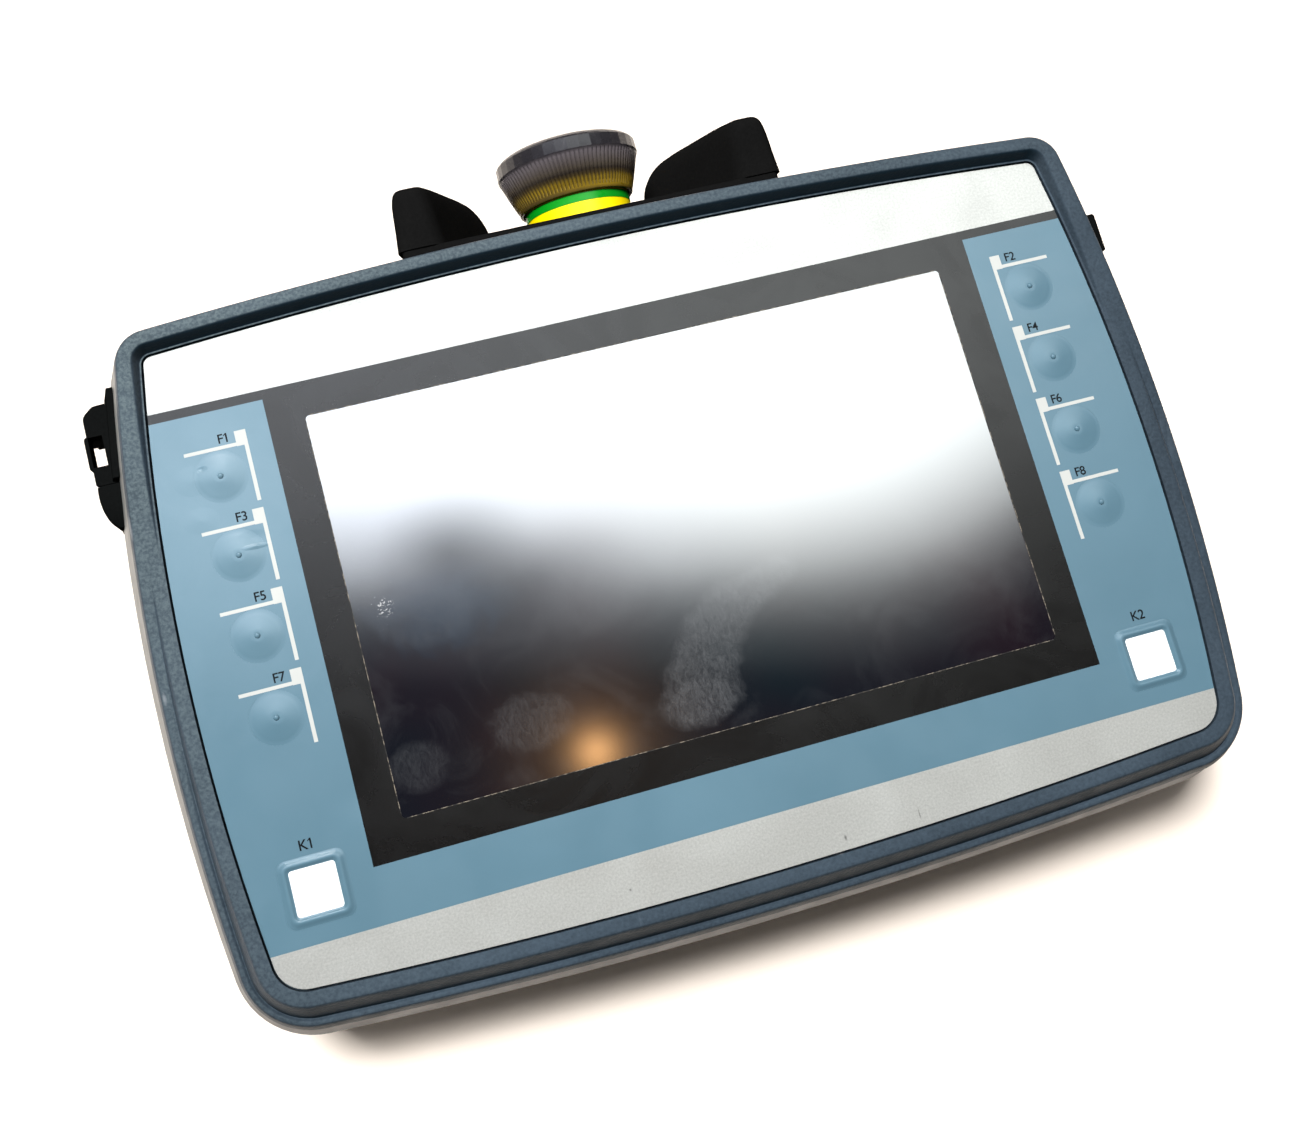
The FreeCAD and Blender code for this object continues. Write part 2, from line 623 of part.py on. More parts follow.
def gland_parts():
    """The cable inlet: a body through the wall, its clamping nut and the lock nut inside."""
    def ring(y0, y1, r_out, r_in):
        tube = Part.makeCylinder(r_out, y1 - y0, V(0, y0, gland_z), V(0, 1, 0))
        return tube.cut(Part.makeCylinder(r_in, y1 - y0 + 2, V(0, y0 - 1, gland_z), V(0, 1, 0)))

    def hexagon(y0, y1, across, r_in):
        points = [(across * math.cos(math.radians(60 * i)), across * math.sin(math.radians(60 * i)))
                  for i in range(6)]
        nut = prism(points, [0.8] * 6, 0, y1 - y0)
        nut.rotate(V(0, 0, 0), V(1, 0, 0), -90)
        nut.translate(V(0, y0, gland_z))
        return nut.cut(Part.makeCylinder(r_in, y1 - y0 + 2, V(0, y0 - 1, gland_z), V(0, 1, 0)))

    body = ring(hump_y0 - 7, hump_y0 + 8, 8.0, 3.6).fuse(hexagon(hump_y0 - 4, hump_y0, 9.9, 7.9))
    nut = hexagon(hump_y0 - 14, hump_y0 - 4.02, 9.9, 8.05).fuse(
        ring(hump_y0 - 17, hump_y0 - 14, 8.2, 3.6)).cut(
        Part.makeCylinder(3.6, 30, V(0, hump_y0 - 20, gland_z), V(0, 1, 0)))
    save("cable_gland", body)
    save("gland_nut", nut)
    save("gland_lock_nut", hexagon(hump_y0 + 3.02, hump_y0 + 6.0, 9.8, 8.02))


# ---- export -------------------------------------------------------------------------------------
save("front_frame", front_frame())
save("keypad_overlay", keypad_overlay())
for number, (x, y) in enumerate(f_keys, start=1):
    save("key_f" + str(number), f_key(x, y))
for number, (x, y) in enumerate(k_keys, start=1):
    save("key_k" + str(number), k_key(x, y))
save("touch_pane", touch_pane())
lcd_parts()
save("carrier_plate", carrier_plate())
save("carrier_screws", *[screw(x, y, carrier_z, 2.2, 1.5, 1.0, 5.5) for x, y in carrier_bosses])
save("key_boards", key_board(-1), key_board(1))
save("dome_switches", *[dome_switch(x, y) for x, y in f_keys + k_keys])
save("key_ribbons", ribbon(-1), ribbon(1))

save("rear_housing", rear_housing())
save("housing_gasket", gasket_ring(0))
save("housing_screws", *[screw(x, y, 40.0, 2.9, 2.4, 1.5, 14) for x, y in housing_bosses])
save("service_cover", service_cover())
save("service_cover_screws", *[screw(x, y, hump_z, 1.9, 0.9, 0.98, 5.5) for x, y in cover_holes])
save("rubber_feet", *[foot(y, 0) for y in feet_y])
save("rating_plate", soft_box(-26, 26, 14, 48, hump_z - 0.4, hump_z, 2))
gland_parts()

save("enable_button_left", enable_button(-1))
save("enable_button_right", enable_button(1))
save("enable_switches", enable_switch(-1), enable_switch(1))

save("main_board", main_board())
save("board_standoffs", *[hex_post(x, y, board_z + 1.6, carrier_z) for x, y in board_posts])
save("board_screws", *[screw(x, y, board_z, 2.2, 1.5, 1.0, 6) for x, y in board_posts])
save("processor", box(-11, 11, -15, 7, board_z - 2.2, board_z))
save("heat_spreader", heat_spreader())
save("memory_chips", *[box(x, x + 9, y, y + 13, board_z - 1.2, board_z) for x in (32, 45) for y in (-14, 3)])
save("coin_cell", Part.makeCylinder(10, 3.2, V(-50, -34, board_z - 4.2)))
save("buzzer", Part.makeCylinder(6, 5, V(52, -38, board_z - 5)))
save("board_connectors", box(-62, -42, 20, 28, board_z - 8, board_z),
     box(40, 60, 20, 28, board_z - 8, board_z),
     box(-20, 20, -53, -46, board_z - 8, board_z))
terminal_board = box(-42, 42, -54, -14, 18, 19.6)
save("terminal_board", terminal_board.cut([rod(x, y, 17, 21, 1.3) for x, y in terminal_posts]))
save("terminal_blocks", box(-24, 24, -50, -41, 8.6, 18), box(-24, 24, -28, -19, 8.6, 18))

save("guard_collar", guard_collar())
save("guard_screws", guard_screw(-guard_screw_x), guard_screw(guard_screw_x))
save("estop_base", stop_base())
save("estop_ring", stop_ring())
save("estop_cap", stop_cap())
save("estop_plunger", stop_plunger())
save("estop_spring", stop_spring())
save("estop_nut", stop_nut())
save("estop_contact_block", contact_block())
save("estop_terminals", *contact_terminals())

save("usb_socket", usb_socket())
save("port_cover", port_cover())
save("port_cover_strap", port_strap())
save("service_cap", service_cap())
print(len(nodes), "nodes")
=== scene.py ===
import json
import math

import bmesh
import bpy
from mathutils import Matrix, Vector


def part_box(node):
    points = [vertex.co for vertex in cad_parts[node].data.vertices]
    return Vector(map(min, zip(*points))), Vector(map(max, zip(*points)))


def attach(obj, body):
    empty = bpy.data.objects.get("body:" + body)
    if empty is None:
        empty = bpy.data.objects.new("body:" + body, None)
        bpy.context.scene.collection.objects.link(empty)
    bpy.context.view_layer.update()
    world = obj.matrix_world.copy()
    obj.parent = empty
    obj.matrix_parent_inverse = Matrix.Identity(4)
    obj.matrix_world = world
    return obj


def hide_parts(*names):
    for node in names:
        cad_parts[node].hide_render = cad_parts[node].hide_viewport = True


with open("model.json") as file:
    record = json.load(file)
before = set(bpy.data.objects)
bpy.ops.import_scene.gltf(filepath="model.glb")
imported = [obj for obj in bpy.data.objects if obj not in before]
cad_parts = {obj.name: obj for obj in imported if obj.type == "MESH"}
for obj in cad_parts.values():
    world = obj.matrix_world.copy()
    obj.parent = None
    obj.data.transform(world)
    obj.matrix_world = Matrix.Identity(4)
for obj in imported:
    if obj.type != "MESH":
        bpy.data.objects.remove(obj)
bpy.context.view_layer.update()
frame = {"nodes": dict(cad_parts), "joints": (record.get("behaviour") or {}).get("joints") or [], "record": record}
MM = 0.001

# ---- places read from the frame ----
film_low, film_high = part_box("keypad_overlay")
FACE = film_high.z  # the front film's surface
SIDE_X = film_high.x
TOP_Y, BOTTOM_Y = film_high.y, film_low.y

# the film's outline: four large arcs and rounded corners
SIDE_MID_Y, SIDE_R = -5 * MM, 485 * MM
TOP_R, BOTTOM_R = 1400 * MM, 1450 * MM
TOP_CORNER_R, BOTTOM_CORNER_R = 2 * MM, 7 * MM

# the bumper's section, as offsets from the film's outline
GROOVE = 0.5 * MM
WALL_AT_FACE, FLARE = 6.4 * MM, 0.33
RIM_AT_FACE, RIM_FLARE = 3.8 * MM, 0.45
RIM_TOP = 0.3 * MM
LIP_SLOPE, LIP_PIVOT_Y, LIP_THICK = 0.0664, 16.3 * MM, 3.7 * MM
LIP_MIDDLE = 5 * MM  # the lip's height is taken this far outside the film's outline
LIP_START, LIP_RISE = 0.85 * MM, 0.31  # the lip's inner wall begins here and leans outward by this slope
DIP, DIP_HALF, DIP_PAST = 0.6 * MM, 0.45 * MM, 0.15 * MM  # the channel outside the rim where the lip is low
RIGHT_EXTRA, RIGHT_EXTRA_SLOPE = 0.8 * MM, 0.005  # the right wall stands out further, most at its lower end
# the ledge under the film's edge, the groove's bottom and the bumper's underside, all hidden
LEDGE_IN, LEDGE_OUT, LEDGE_LOW = -1.4 * MM, 0.03 * MM, -0.53 * MM
GROOVE_LOW, UNDERSIDE = -1.9 * MM, -3.4 * MM

# the printed front
SCREEN_X, SCREEN_Y = 76.2 * MM, 46.0 * MM
BORDER_X = 84.36 * MM
BORDER_LOW = -54.15 * MM
STRIP_LOW, STRIP_HIGH = 51.9 * MM, 54.12 * MM
BLUE_LOW = -66.4 * MM
PRINT = 0.02 * MM  # how far print stands on the film

# the emergency stop's own axes: to the right, to the front and along its head
release = [j for j in frame["joints"] if j["name"] == "stop_release_twist"][0]
STOP_POINT, STOP_AXIS = Vector(release["pos_m"]), Vector(release["axis"]).normalized()
STOP_SIDE = Vector((1, 0, 0))
STOP_FRONT = STOP_AXIS.cross(STOP_SIDE) * -1


def on_stop(a, b, u):
    """The point a to the right, b to the front and u along the head's axis."""
    return STOP_POINT + STOP_SIDE * a + STOP_FRONT * b + STOP_AXIS * u


# ---- materials ----
def shader(name, color, roughness, metallic=0.0, **sockets):
    material = bpy.data.materials.new(name)
    material.use_nodes = True
    tree = material.node_tree
    surface = tree.nodes["Principled BSDF"]
    surface.inputs["Base Color"].default_value = (*color, 1)
    surface.inputs["Roughness"].default_value = roughness
    surface.inputs["Metallic"].default_value = metallic
    for socket, value in sockets.items():
        surface.inputs[socket.replace("_", " ")].default_value = value
    return material, tree, surface


def place(tree, scale=None):
    """Object coordinates in metres, stretched if a scale for x, y and z is given."""
    coordinate = tree.nodes.new("ShaderNodeTexCoord")
    if not scale:
        return coordinate.outputs["Object"]
    mapping = tree.nodes.new("ShaderNodeMapping")
    mapping.inputs["Scale"].default_value = scale
    tree.links.new(coordinate.outputs["Object"], mapping.inputs["Vector"])
    return mapping.outputs["Vector"]


def noise(tree, scale, detail=4.0, rough=0.5, distortion=0.0, where=None):
    texture = tree.nodes.new("ShaderNodeTexNoise")
    texture.inputs["Scale"].default_value = scale
    texture.inputs["Detail"].default_value = detail
    texture.inputs["Roughness"].default_value = rough
    texture.inputs["Distortion"].default_value = distortion
    tree.links.new(where or place(tree), texture.inputs["Vector"])
    return texture.outputs["Fac"]


def spread(tree, value, low, high, to_low, to_high):
    """Maps low..high to to_low..to_high, held inside those limits."""
    node = tree.nodes.new("ShaderNodeMapRange")
    for socket, number in (("From Min", low), ("From Max", high), ("To Min", to_low), ("To Max", to_high)):
        node.inputs[socket].default_value = number
    tree.links.new(value, node.inputs["Value"])
    return node.outputs["Result"]


def blend_colors(tree, factor, first, second):
    node = tree.nodes.new("ShaderNodeMix")
    node.data_type = "RGBA"
    tree.links.new(factor, node.inputs["Factor"])
    for socket, color in ((6, first), (7, second)):
        if isinstance(color, tuple):
            node.inputs[socket].default_value = (*color, 1)
        else:
            tree.links.new(color, node.inputs[socket])
    return node.outputs[2]


def math_node(tree, operation, first, second):
    node = tree.nodes.new("ShaderNodeMath")
    node.operation = operation
    for socket, value in ((0, first), (1, second)):
        if isinstance(value, (int, float)):
            node.inputs[socket].default_value = value
        else:
            tree.links.new(value, node.inputs[socket])
    return node.outputs[0]


def times(tree, first, second):
    return math_node(tree, "MULTIPLY", first, second)


def dot_with(tree, vector, direction):
    node = tree.nodes.new("ShaderNodeVectorMath")
    node.operation = "DOT_PRODUCT"
    tree.links.new(vector, node.inputs[0])
    node.inputs[1].default_value = direction
    return node.outputs["Value"]


def bump(tree, surface, heights):
    """Chains (height, distance in metres) pairs into the shader's normal."""
    previous = None
    for height, distance in heights:
        node = tree.nodes.new("ShaderNodeBump")
        node.inputs["Strength"].default_value = 1.0
        node.inputs["Distance"].default_value = distance
        tree.links.new(height, node.inputs["Height"])
        if previous:
            tree.links.new(previous, node.inputs["Normal"])
        previous = node.outputs["Normal"]
    tree.links.new(previous, surface.inputs["Normal"])


def facing(tree, direction, low, high):
    """0 to 1 as the surface's own normal turns towards a direction."""
    coordinate = tree.nodes.new("ShaderNodeTexCoord")
    return spread(tree, dot_with(tree, coordinate.outputs["Normal"], direction), low, high, 0, 1)


def oval(tree, x, y, z, reach_x, reach_y):
    """Distance from (x, y, z) in a level plane, as a share of the reach."""
    mapping = tree.nodes.new("ShaderNodeMapping")
    mapping.vector_type = "TEXTURE"
    mapping.inputs["Location"].default_value = (x, y, z)
    mapping.inputs["Scale"].default_value = (reach_x, reach_y, 1)
    tree.links.new(place(tree), mapping.inputs["Vector"])
    length = tree.nodes.new("ShaderNodeVectorMath")
    length.operation = "LENGTH"
    tree.links.new(mapping.outputs["Vector"], length.inputs[0])
    return length.outputs["Value"]


def near(tree, x, y, half_x, half_y, soft=1.0, ragged=0.0):
    """1 at (x, y) on the front and 0 outside an ellipse around it, in mm; noise can fray its edge."""
    distance = oval(tree, x * MM, y * MM, FACE, half_x * MM, half_y * MM)
    if ragged:
        fray = spread(tree, noise(tree, 90, 6, 0.65, 1.0), 0.25, 0.75, -ragged, ragged)
        distance = math_node(tree, "ADD", distance, fray)
    return spread(tree, distance, 1 - soft, 1, 1, 0)


def ramp(tree, fraction, stops):
    """A colour by (place between 0 and 1, colour) stops."""
    node = tree.nodes.new("ShaderNodeValToRGB")
    while len(node.color_ramp.elements) < len(stops):
        node.color_ramp.elements.new(0.5)
    for element, (where, color) in zip(node.color_ramp.elements, stops):
        element.position = where
        element.color = (*color, 1)
    tree.links.new(fraction, node.inputs["Fac"])
    return node.outputs["Color"]


def paint(tree, surface, tint, gloss=None):
    """Drives the shader's colour, and its roughness where that is uneven."""
    tree.links.new(tint, surface.inputs["Base Color"])
    if gloss:
        tree.links.new(gloss, surface.inputs["Roughness"])


def scaled(color, by, plus=0.0):
    """A colour times a number plus another, at most 1."""
    return tuple(min(1, c * by + plus) for c in color)


# places on the front are (middle x, y, half size x, y) in mm
PAINTED_LIGHT_PATCH = (-100, 34, 46, 52)  # a painted pool of light on the film's upper left, where the light falls
BLUE_PATCH = (-59, -3, 17, 11)  # a bluish patch on the screen
NICK = (-69, -0.5, 2.2, 2.6)  # small scratches on the screen
# dents in the film, with their height
DENTS = [(-100.4, 39.3, 1.3, 0.7, -0.16), (-102.7, 37.2, 4.5, 3.5, 0.12), (-93.0, 19.6, 3.2, 0.7, 0.16),
         (-93.1, 21.6, 3.5, 1.8, -0.10), (-103.0, 28.0, 4.0, 3.0, 0.08)]
# dark specks on the lower silver band
SPECKS = [(15.7, -75.6, 0.35, 0.7), (33.3, -75.2, 0.25, 1.8), (-33, -73.5, 0.3, 0.4)]
# pale scuffs on the bumper
SCUFFS = [(-111.4, 76.0, 0.8, 2.2), (-113.2, 71.5, 0.7, 2.6), (-118.0, 30.0, 0.6, 3.0),
          (13.7, -78.6, 0.9, 0.25), (-119.0, -8.0, 0.6, 2.0)]
# smears on the screen, with their strength; a palm has wiped the long one
SMEARS = [(-62, -4, 11, 7, 0.25), (-24, -9, 11, 9, 0.2), (17, -14.5, 5, 3.5, 0.42),
          (12, -16.5, 5.5, 4.5, 0.5), (7, -18.5, 6, 5, 0.55), (3, -21, 6.5, 5.5, 0.55),
          (-0.5, -24, 7, 6, 0.55), (-3, -28.5, 7, 6.5, 0.6), (-5.5, -33.5, 7.5, 6.5, 0.7),
          (-7, -38, 9, 5.5, 0.85), (-44, -33, 9, 6, 0.4), (-70, -36, 6, 5, 0.3), (66, -18, 9, 8, 0.2)]
# the way along which upturned faces are painted paler, as dust and painted highlight towards the lit upper left,
# and where along it that begins and ends
LIT_DUST_WAY, LIT_DUST_FROM, LIT_DUST_TO = (-0.6, 0.8, 0), -0.03, 0.11
UP, TO_USER = (0, 0, 1), (0, -1, 0)

# the bumper's own blue, a painted shade for its faces that turn towards the user, away from the light, and a paler
# dust with painted highlight for its upturned faces on the upper left
FRAME_BLUE, FRAME_PAINTED_SHADE, FRAME_DUST_AND_HIGHLIGHT = (0.035, 0.050, 0.066), (0.006, 0.017, 0.027), (0.095, 0.124, 0.133)
SCUFF_PALE = (0.20, 0.22, 0.24)
FILM_BLUE = (0.078, 0.153, 0.200)
PANE_BLUISH, PANE_REDDISH, PANE_BLUE = (0.003, 0.008, 0.012), (0.013, 0.006, 0.010), (0.010, 0.020, 0.036)
SMEAR_MILKY, NICK_WHITE = (0.088, 0.093, 0.100), (0.5, 0.5, 0.5)
HEAD_SHADE = (0.035, 0.026, 0.012)
# what shows through the stop's head, painted on it in bands: height above its lower edge in mm, and colour
HEAD_SPAN = 16
HEAD_BANDS = [(0.0, (0.08, 0.055, 0.01)), (0.5, (0.16, 0.105, 0.010)), (0.9, (0.24, 0.155, 0.010)),
              (2.6, (0.20, 0.13, 0.010)), (3.6, (0.045, 0.030, 0.010)), (4.4, (0.018, 0.014, 0.012)),
              (5.4, (0.050, 0.040, 0.030)), (8.6, (0.095, 0.083, 0.090)), (9.6, (0.014, 0.013, 0.016))]


def moulded(name, color, roughness, grain=0.03, grain_scale=2500, tone=0.18, wear=0.0,
            painted_shade=None, dust=None, scuffs=(), **sockets):
    """Moulded plastic or rubber: fine grain, slow tone changes and uneven gloss.

    It may have rub marks, scuffs, dust with painted highlight on what faces up on the upper left, and painted
    shade on what faces the user, away from the light."""
    material, tree, surface = shader(name, color, roughness, **sockets)
    slow = noise(tree, 22, 5, 0.6)
    specks = noise(tree, 1300, 2, 0.6)
    mottle = math_node(tree, "ADD", times(tree, slow, 0.6), times(tree, specks, 0.4))
    tint = blend_colors(tree, spread(tree, mottle, 0.36, 0.64, 0, 1),
                        scaled(color, 1 - tone), scaled(color, 1 + tone))
    if wear:
        rubs = noise(tree, 60, 8, 0.7, 1.5, place(tree, (1, 0.25, 1)))
        tint = blend_colors(tree, spread(tree, rubs, 0.62, 0.78, 0, wear), tint, scaled(color, 1.7, 0.03))
    # dust and painted highlight: upturned faces towards the lit upper left are made paler
    if dust:
        dust_and_light = spread(tree, dot_with(tree, place(tree), LIT_DUST_WAY), LIT_DUST_FROM, LIT_DUST_TO, 0, 0.5)
        dust_and_light = times(tree, dust_and_light, facing(tree, UP, 0.72, 0.97))
        dust_and_light = times(tree, dust_and_light, spread(tree, specks, 0.38, 0.66, 0.5, 1.7))
        tint = blend_colors(tree, dust_and_light, tint, dust)
    for scuff in scuffs:
        rubbed = near(tree, *scuff, 0.7, 0.6)
        tint = blend_colors(tree, times(tree, rubbed, 0.6), tint, SCUFF_PALE)
    # painted shade: what faces the user, away from the light, is darkened
    if painted_shade:
        tint = blend_colors(tree, facing(tree, TO_USER, 0.35, 0.95), tint, painted_shade)
    gloss = spread(tree, noise(tree, 180, 3, 0.5), 0.3, 0.7, roughness * 0.88, roughness * 1.12)
    paint(tree, surface, tint, gloss)
    bump(tree, surface, [(noise(tree, grain_scale, 2, 0.5), grain * MM), (slow, 0.05 * MM)])
    return material


def metal(name, color, roughness, scratch=(40, 900, 40)):
    """Bare metal with fine scratches along one way and a cloudy tone."""
    material, tree, surface = shader(name, color, roughness, 1.0)
    brushed = noise(tree, 1, 6, 0.6, 0, place(tree, scratch))
    gloss = spread(tree, brushed, 0.3, 0.7, roughness * 0.75, roughness * 1.3)
    paint(tree, surface, blend_colors(tree, noise(tree, 45, 4), scaled(color, 0.85), color), gloss)
    bump(tree, surface, [(brushed, 0.01 * MM)])
    return material


def film(name, color, roughness, grain, speckle=0.0, dirt=0.1, metallic=0.0, specular=0.58,
         lit_patch=False, marks=(), wipe=0.015):
    """Printed polyester film: a fine embossed grain, faint dirt, if speckled a fleck, and, if asked, a painted
    pool of light on its upper left.
    """
    material, tree, surface = shader(name, color, roughness, metallic, Specular_IOR_Level=specular)
    cloud = noise(tree, 18, 5, 0.6)
    tint = blend_colors(tree, spread(tree, cloud, 0.35, 0.7, 0, 1), color, scaled(color, 1 - dirt))
    # painted light: the film's upper left is made paler where the light falls
    if lit_patch:
        painted_light = times(tree, near(tree, *PAINTED_LIGHT_PATCH, 1.0, 0.15), 0.8)
        tint = blend_colors(tree, painted_light, tint, scaled(color, 1.08, 0.035))
    if speckle:
        fleck = spread(tree, noise(tree, 2000, 3, 0.7), 0.35, 0.65, 0, 1)
        tint = blend_colors(tree, fleck, scaled(color, 1 - speckle), scaled(color, 1 + speckle))
    for mark in marks:
        tint = blend_colors(tree, near(tree, *mark, 1.0, 0.4), tint, scaled(color, 0.3))
    smear = noise(tree, 30, 6, 0.6, 2.0)
    paint(tree, surface, tint, spread(tree, smear, 0.35, 0.7, roughness * 0.85, roughness * 1.2))
    relief = [(noise(tree, 4200, 2, 0.5), grain * MM), (smear, wipe * MM), (noise(tree, 30, 2), 0.10 * MM)]
    for *where, height in DENTS:
        relief.append((near(tree, *where), height * MM))
    bump(tree, surface, relief)
    return material


def screen_glass(name):
    """The dark touch pane: a strong mirror with wiped patches, a palm's milky smear and a few scratches."""
    material, tree, surface = shader(name, (0.006, 0.007, 0.010), 0.09, IOR=2.2, Specular_IOR_Level=1.0)
    fibres = spread(tree, noise(tree, 1, 8, 0.75, 1.2, place(tree, (900, 420, 90))), 0.38, 0.68, 0.25, 1)
    smear = spread(tree, noise(tree, 55, 8, 0.7, 1.0), 0.48, 0.8, 0, 0.2)
    for x, y, half_x, half_y, amount in SMEARS:
        wiped = near(tree, x, y, half_x * 1.2, half_y * 1.2, 0.35, 0.2)
        wiped = times(tree, times(tree, wiped, fibres), amount)
        smear = math_node(tree, "MAXIMUM", smear, wiped)
    drift = spread(tree, noise(tree, 14, 3, 0.5), 0.35, 0.65, 0, 1)
    clean = blend_colors(tree, drift, PANE_BLUISH, PANE_REDDISH)
    clean = blend_colors(tree, near(tree, *BLUE_PATCH, 0.7, 0.3), clean, PANE_BLUE)
    tint = blend_colors(tree, smear, clean, SMEAR_MILKY)
    scratches = spread(tree, noise(tree, 1100, 2, 0.5, 2.0), 0.56, 0.62, 0, 0.8)
    tint = blend_colors(tree, times(tree, near(tree, *NICK, 0.3), scratches), tint, NICK_WHITE)
    paint(tree, surface, tint, spread(tree, smear, 0, 1, 0.075, 0.11))
    bump(tree, surface, [(noise(tree, 9, 3), 0.012 * MM), (noise(tree, 5200, 1), 0.0010 * MM)])
    return material


def smoked(name):
    """The stop's smoke-grey head, with the yellow collar behind its skirt painted on in bands as if seen through
    it, and painted shade on its low part where it turns to the left.
    """
    material, tree, surface = shader(name, (0.085, 0.075, 0.09), 0.26, Specular_IOR_Level=0.35)
    wobble = spread(tree, noise(tree, 300, 3), 0, 1, -0.25 * MM, 0.25 * MM)
    height = math_node(tree, "ADD", dot_with(tree, place(tree), STOP_AXIS), wobble)
    start = STOP_POINT.dot(STOP_AXIS)
    bands = ramp(tree, spread(tree, height, start, start + HEAD_SPAN * MM, 0, 1),
                 [(u / HEAD_SPAN, color) for u, color in HEAD_BANDS])
    low = spread(tree, height, start + 3.5 * MM, start + 5 * MM, 1, 0)
    # painted shade on the head's low part where it turns to the left
    shade = times(tree, facing(tree, (-0.8, 0, 0.6), 0.2, 0.95), low)
    tint = blend_colors(tree, times(tree, shade, 0.8), bands, HEAD_SHADE)
    paint(tree, surface, tint, spread(tree, noise(tree, 400, 3), 0.3, 0.7, 0.2, 0.34))
    bump(tree, surface, [(noise(tree, 1500, 2), 0.01 * MM)])
    return material


def circuit(name, color):
    """Solder mask over copper tracks."""
    material, tree, surface = shader(name, color, 0.35)
    tracks = tree.nodes.new("ShaderNodeTexBrick")
    tracks.inputs["Scale"].default_value = 260
    tracks.inputs["Mortar Size"].default_value = 0.08
    tracks.inputs["Color1"].default_value = (*color, 1)
    tracks.inputs["Color2"].default_value = (*scaled(color, 0.7), 1)
    tracks.inputs["Mortar"].default_value = (*scaled(color, 2.2, 0.03), 1)
    tree.links.new(place(tree), tracks.inputs["Vector"])
    paint(tree, surface, tracks.outputs["Color"])
    bump(tree, surface, [(tracks.outputs["Fac"], 0.03 * MM)])
    return material


looks = {
    # the bumper has painted shade on its faces towards the user, and dust with painted highlight on its upturned
    # faces on the upper left
    "frame_blue": moulded("bumper_blue", FRAME_BLUE, 0.46, 0.12, 1300, 0.28, 0.5,
                          FRAME_PAINTED_SHADE, FRAME_DUST_AND_HIGHLIGHT, SCUFFS, Specular_IOR_Level=0.08),
    "film": film("film_blue", FILM_BLUE, 0.36, 0.008, lit_patch=True),
    "screen": screen_glass("screen_glass"),
    # the housing's last colour is painted shade on its faces that turn towards the user, away from the light
    "housing_grey": moulded("housing_grey", (0.16, 0.165, 0.16), 0.5, 0.06, 1400, 0.06, 0.15,
                            (0.05, 0.055, 0.06)),
    "black_plastic": moulded("black_plastic", (0.006, 0.006, 0.006), 0.35, 0.05, 1300, 0.2, 0.03,
                             Specular_IOR_Level=0.0),
    "black_rubber": moulded("black_rubber", (0.0040, 0.0044, 0.0044), 0.5, 0.04, 1800, 0.2, 0.03,
                            Specular_IOR_Level=0.0),
    "stop_yellow": moulded("stop_yellow", (0.95, 0.74, 0.0), 0.3, 0.01, 900, 0.05),
    "stop_green": moulded("stop_green", (0.0, 0.24, 0.008), 0.3, 0.01, 900, 0.05),
    "stop_cap": smoked("smoked_cap"),
    "steel": metal("zinc_steel", (0.55, 0.55, 0.56), 0.3),
    "spring_steel": metal("spring_steel", (0.48, 0.48, 0.5), 0.25),
    "aluminium": metal("aluminium_sheet", (0.66, 0.67, 0.69), 0.36),
    "circuit_board": circuit("circuit_green", (0.012, 0.11, 0.035)),
    "lcd": moulded("lcd_dark", (0.012, 0.012, 0.016), 0.15, 0.002, 900, 0.1),
    "backlight": moulded("backlight_white", (0.75, 0.75, 0.73), 0.4, 0.01, 900, 0.04),
    "chip_black": moulded("chip_black", (0.018, 0.018, 0.02), 0.5, 0.02, 3000, 0.1),
    "connector": moulded("connector_ivory", (0.62, 0.60, 0.52), 0.42, 0.02, 1800, 0.06),
    "terminal_green": moulded("terminal_green", (0.03, 0.24, 0.08), 0.4, 0.02, 1800, 0.08),
    "nickel": metal("nickel", (0.60, 0.58, 0.54), 0.24, (300, 300, 40)),
    "button_yellow": moulded("button_yellow", (0.72, 0.55, 0.02), 0.5, 0.04, 1600, 0.06, 0.15),
    "plate_silver": metal("plate_silver", (0.68, 0.68, 0.67), 0.34),
    "ribbon_white": moulded("ribbon_white", (0.66, 0.66, 0.62), 0.45, 0.01, 1200, 0.05),
}
film_silver = film("film_silver", (0.40, 0.405, 0.385), 0.36, 0.01, 0.12, 0.07, 0.35, 0.8, marks=SPECKS)
film_dark = film("film_dark", (0.0042, 0.0039, 0.0037), 0.27, 0.012, 0.25, 0.1, 0.0, 0.40, wipe=0.004)
print_white = film("print_white", (0.86, 0.87, 0.86), 0.42, 0.006)
print_pale = film("print_pale", (0.43, 0.44, 0.42), 0.42, 0.006)
print_grey = film("print_grey", (0.003, 0.004, 0.005), 0.5, 0.006, 0.0, 0.1, 0.0, 0.15)


# ---- mesh helpers ----
slot_of = {part["node"]: part["material_slot"] for part in frame["record"]["subparts"]}
body_of = {node: body for body, members in frame["record"]["behaviour"]["bodies"].items() for node in members}


def loose(name, data):
    item = bpy.data.objects.new(name, data)
    bpy.context.scene.collection.objects.link(item)
    return item


def piece(name, mesh, materials, node, replaces=True, sharp=35):
    """Puts a finished mesh on the body of a CAD node and, if it stands for it, hides that node."""
    item = loose(name, mesh)
    while len(mesh.materials) < len(materials):
        mesh.materials.append(None)
    for index, material in enumerate(materials):
        mesh.materials[index] = material
    mesh.shade_smooth()
    mesh.set_sharp_from_angle(angle=math.radians(sharp))
    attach(item, body_of[node])
    if replaces:
        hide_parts(node)


def mesh_of(name, points, faces):
    """A mesh whose faces all point outward."""
    mesh = bpy.data.meshes.new(name)
    mesh.from_pydata([tuple(p) for p in points], [], faces)
    edit = bmesh.new()
    edit.from_mesh(mesh)
    bmesh.ops.recalc_face_normals(edit, faces=edit.faces)
    edit.to_mesh(mesh)
    edit.free()
    return mesh


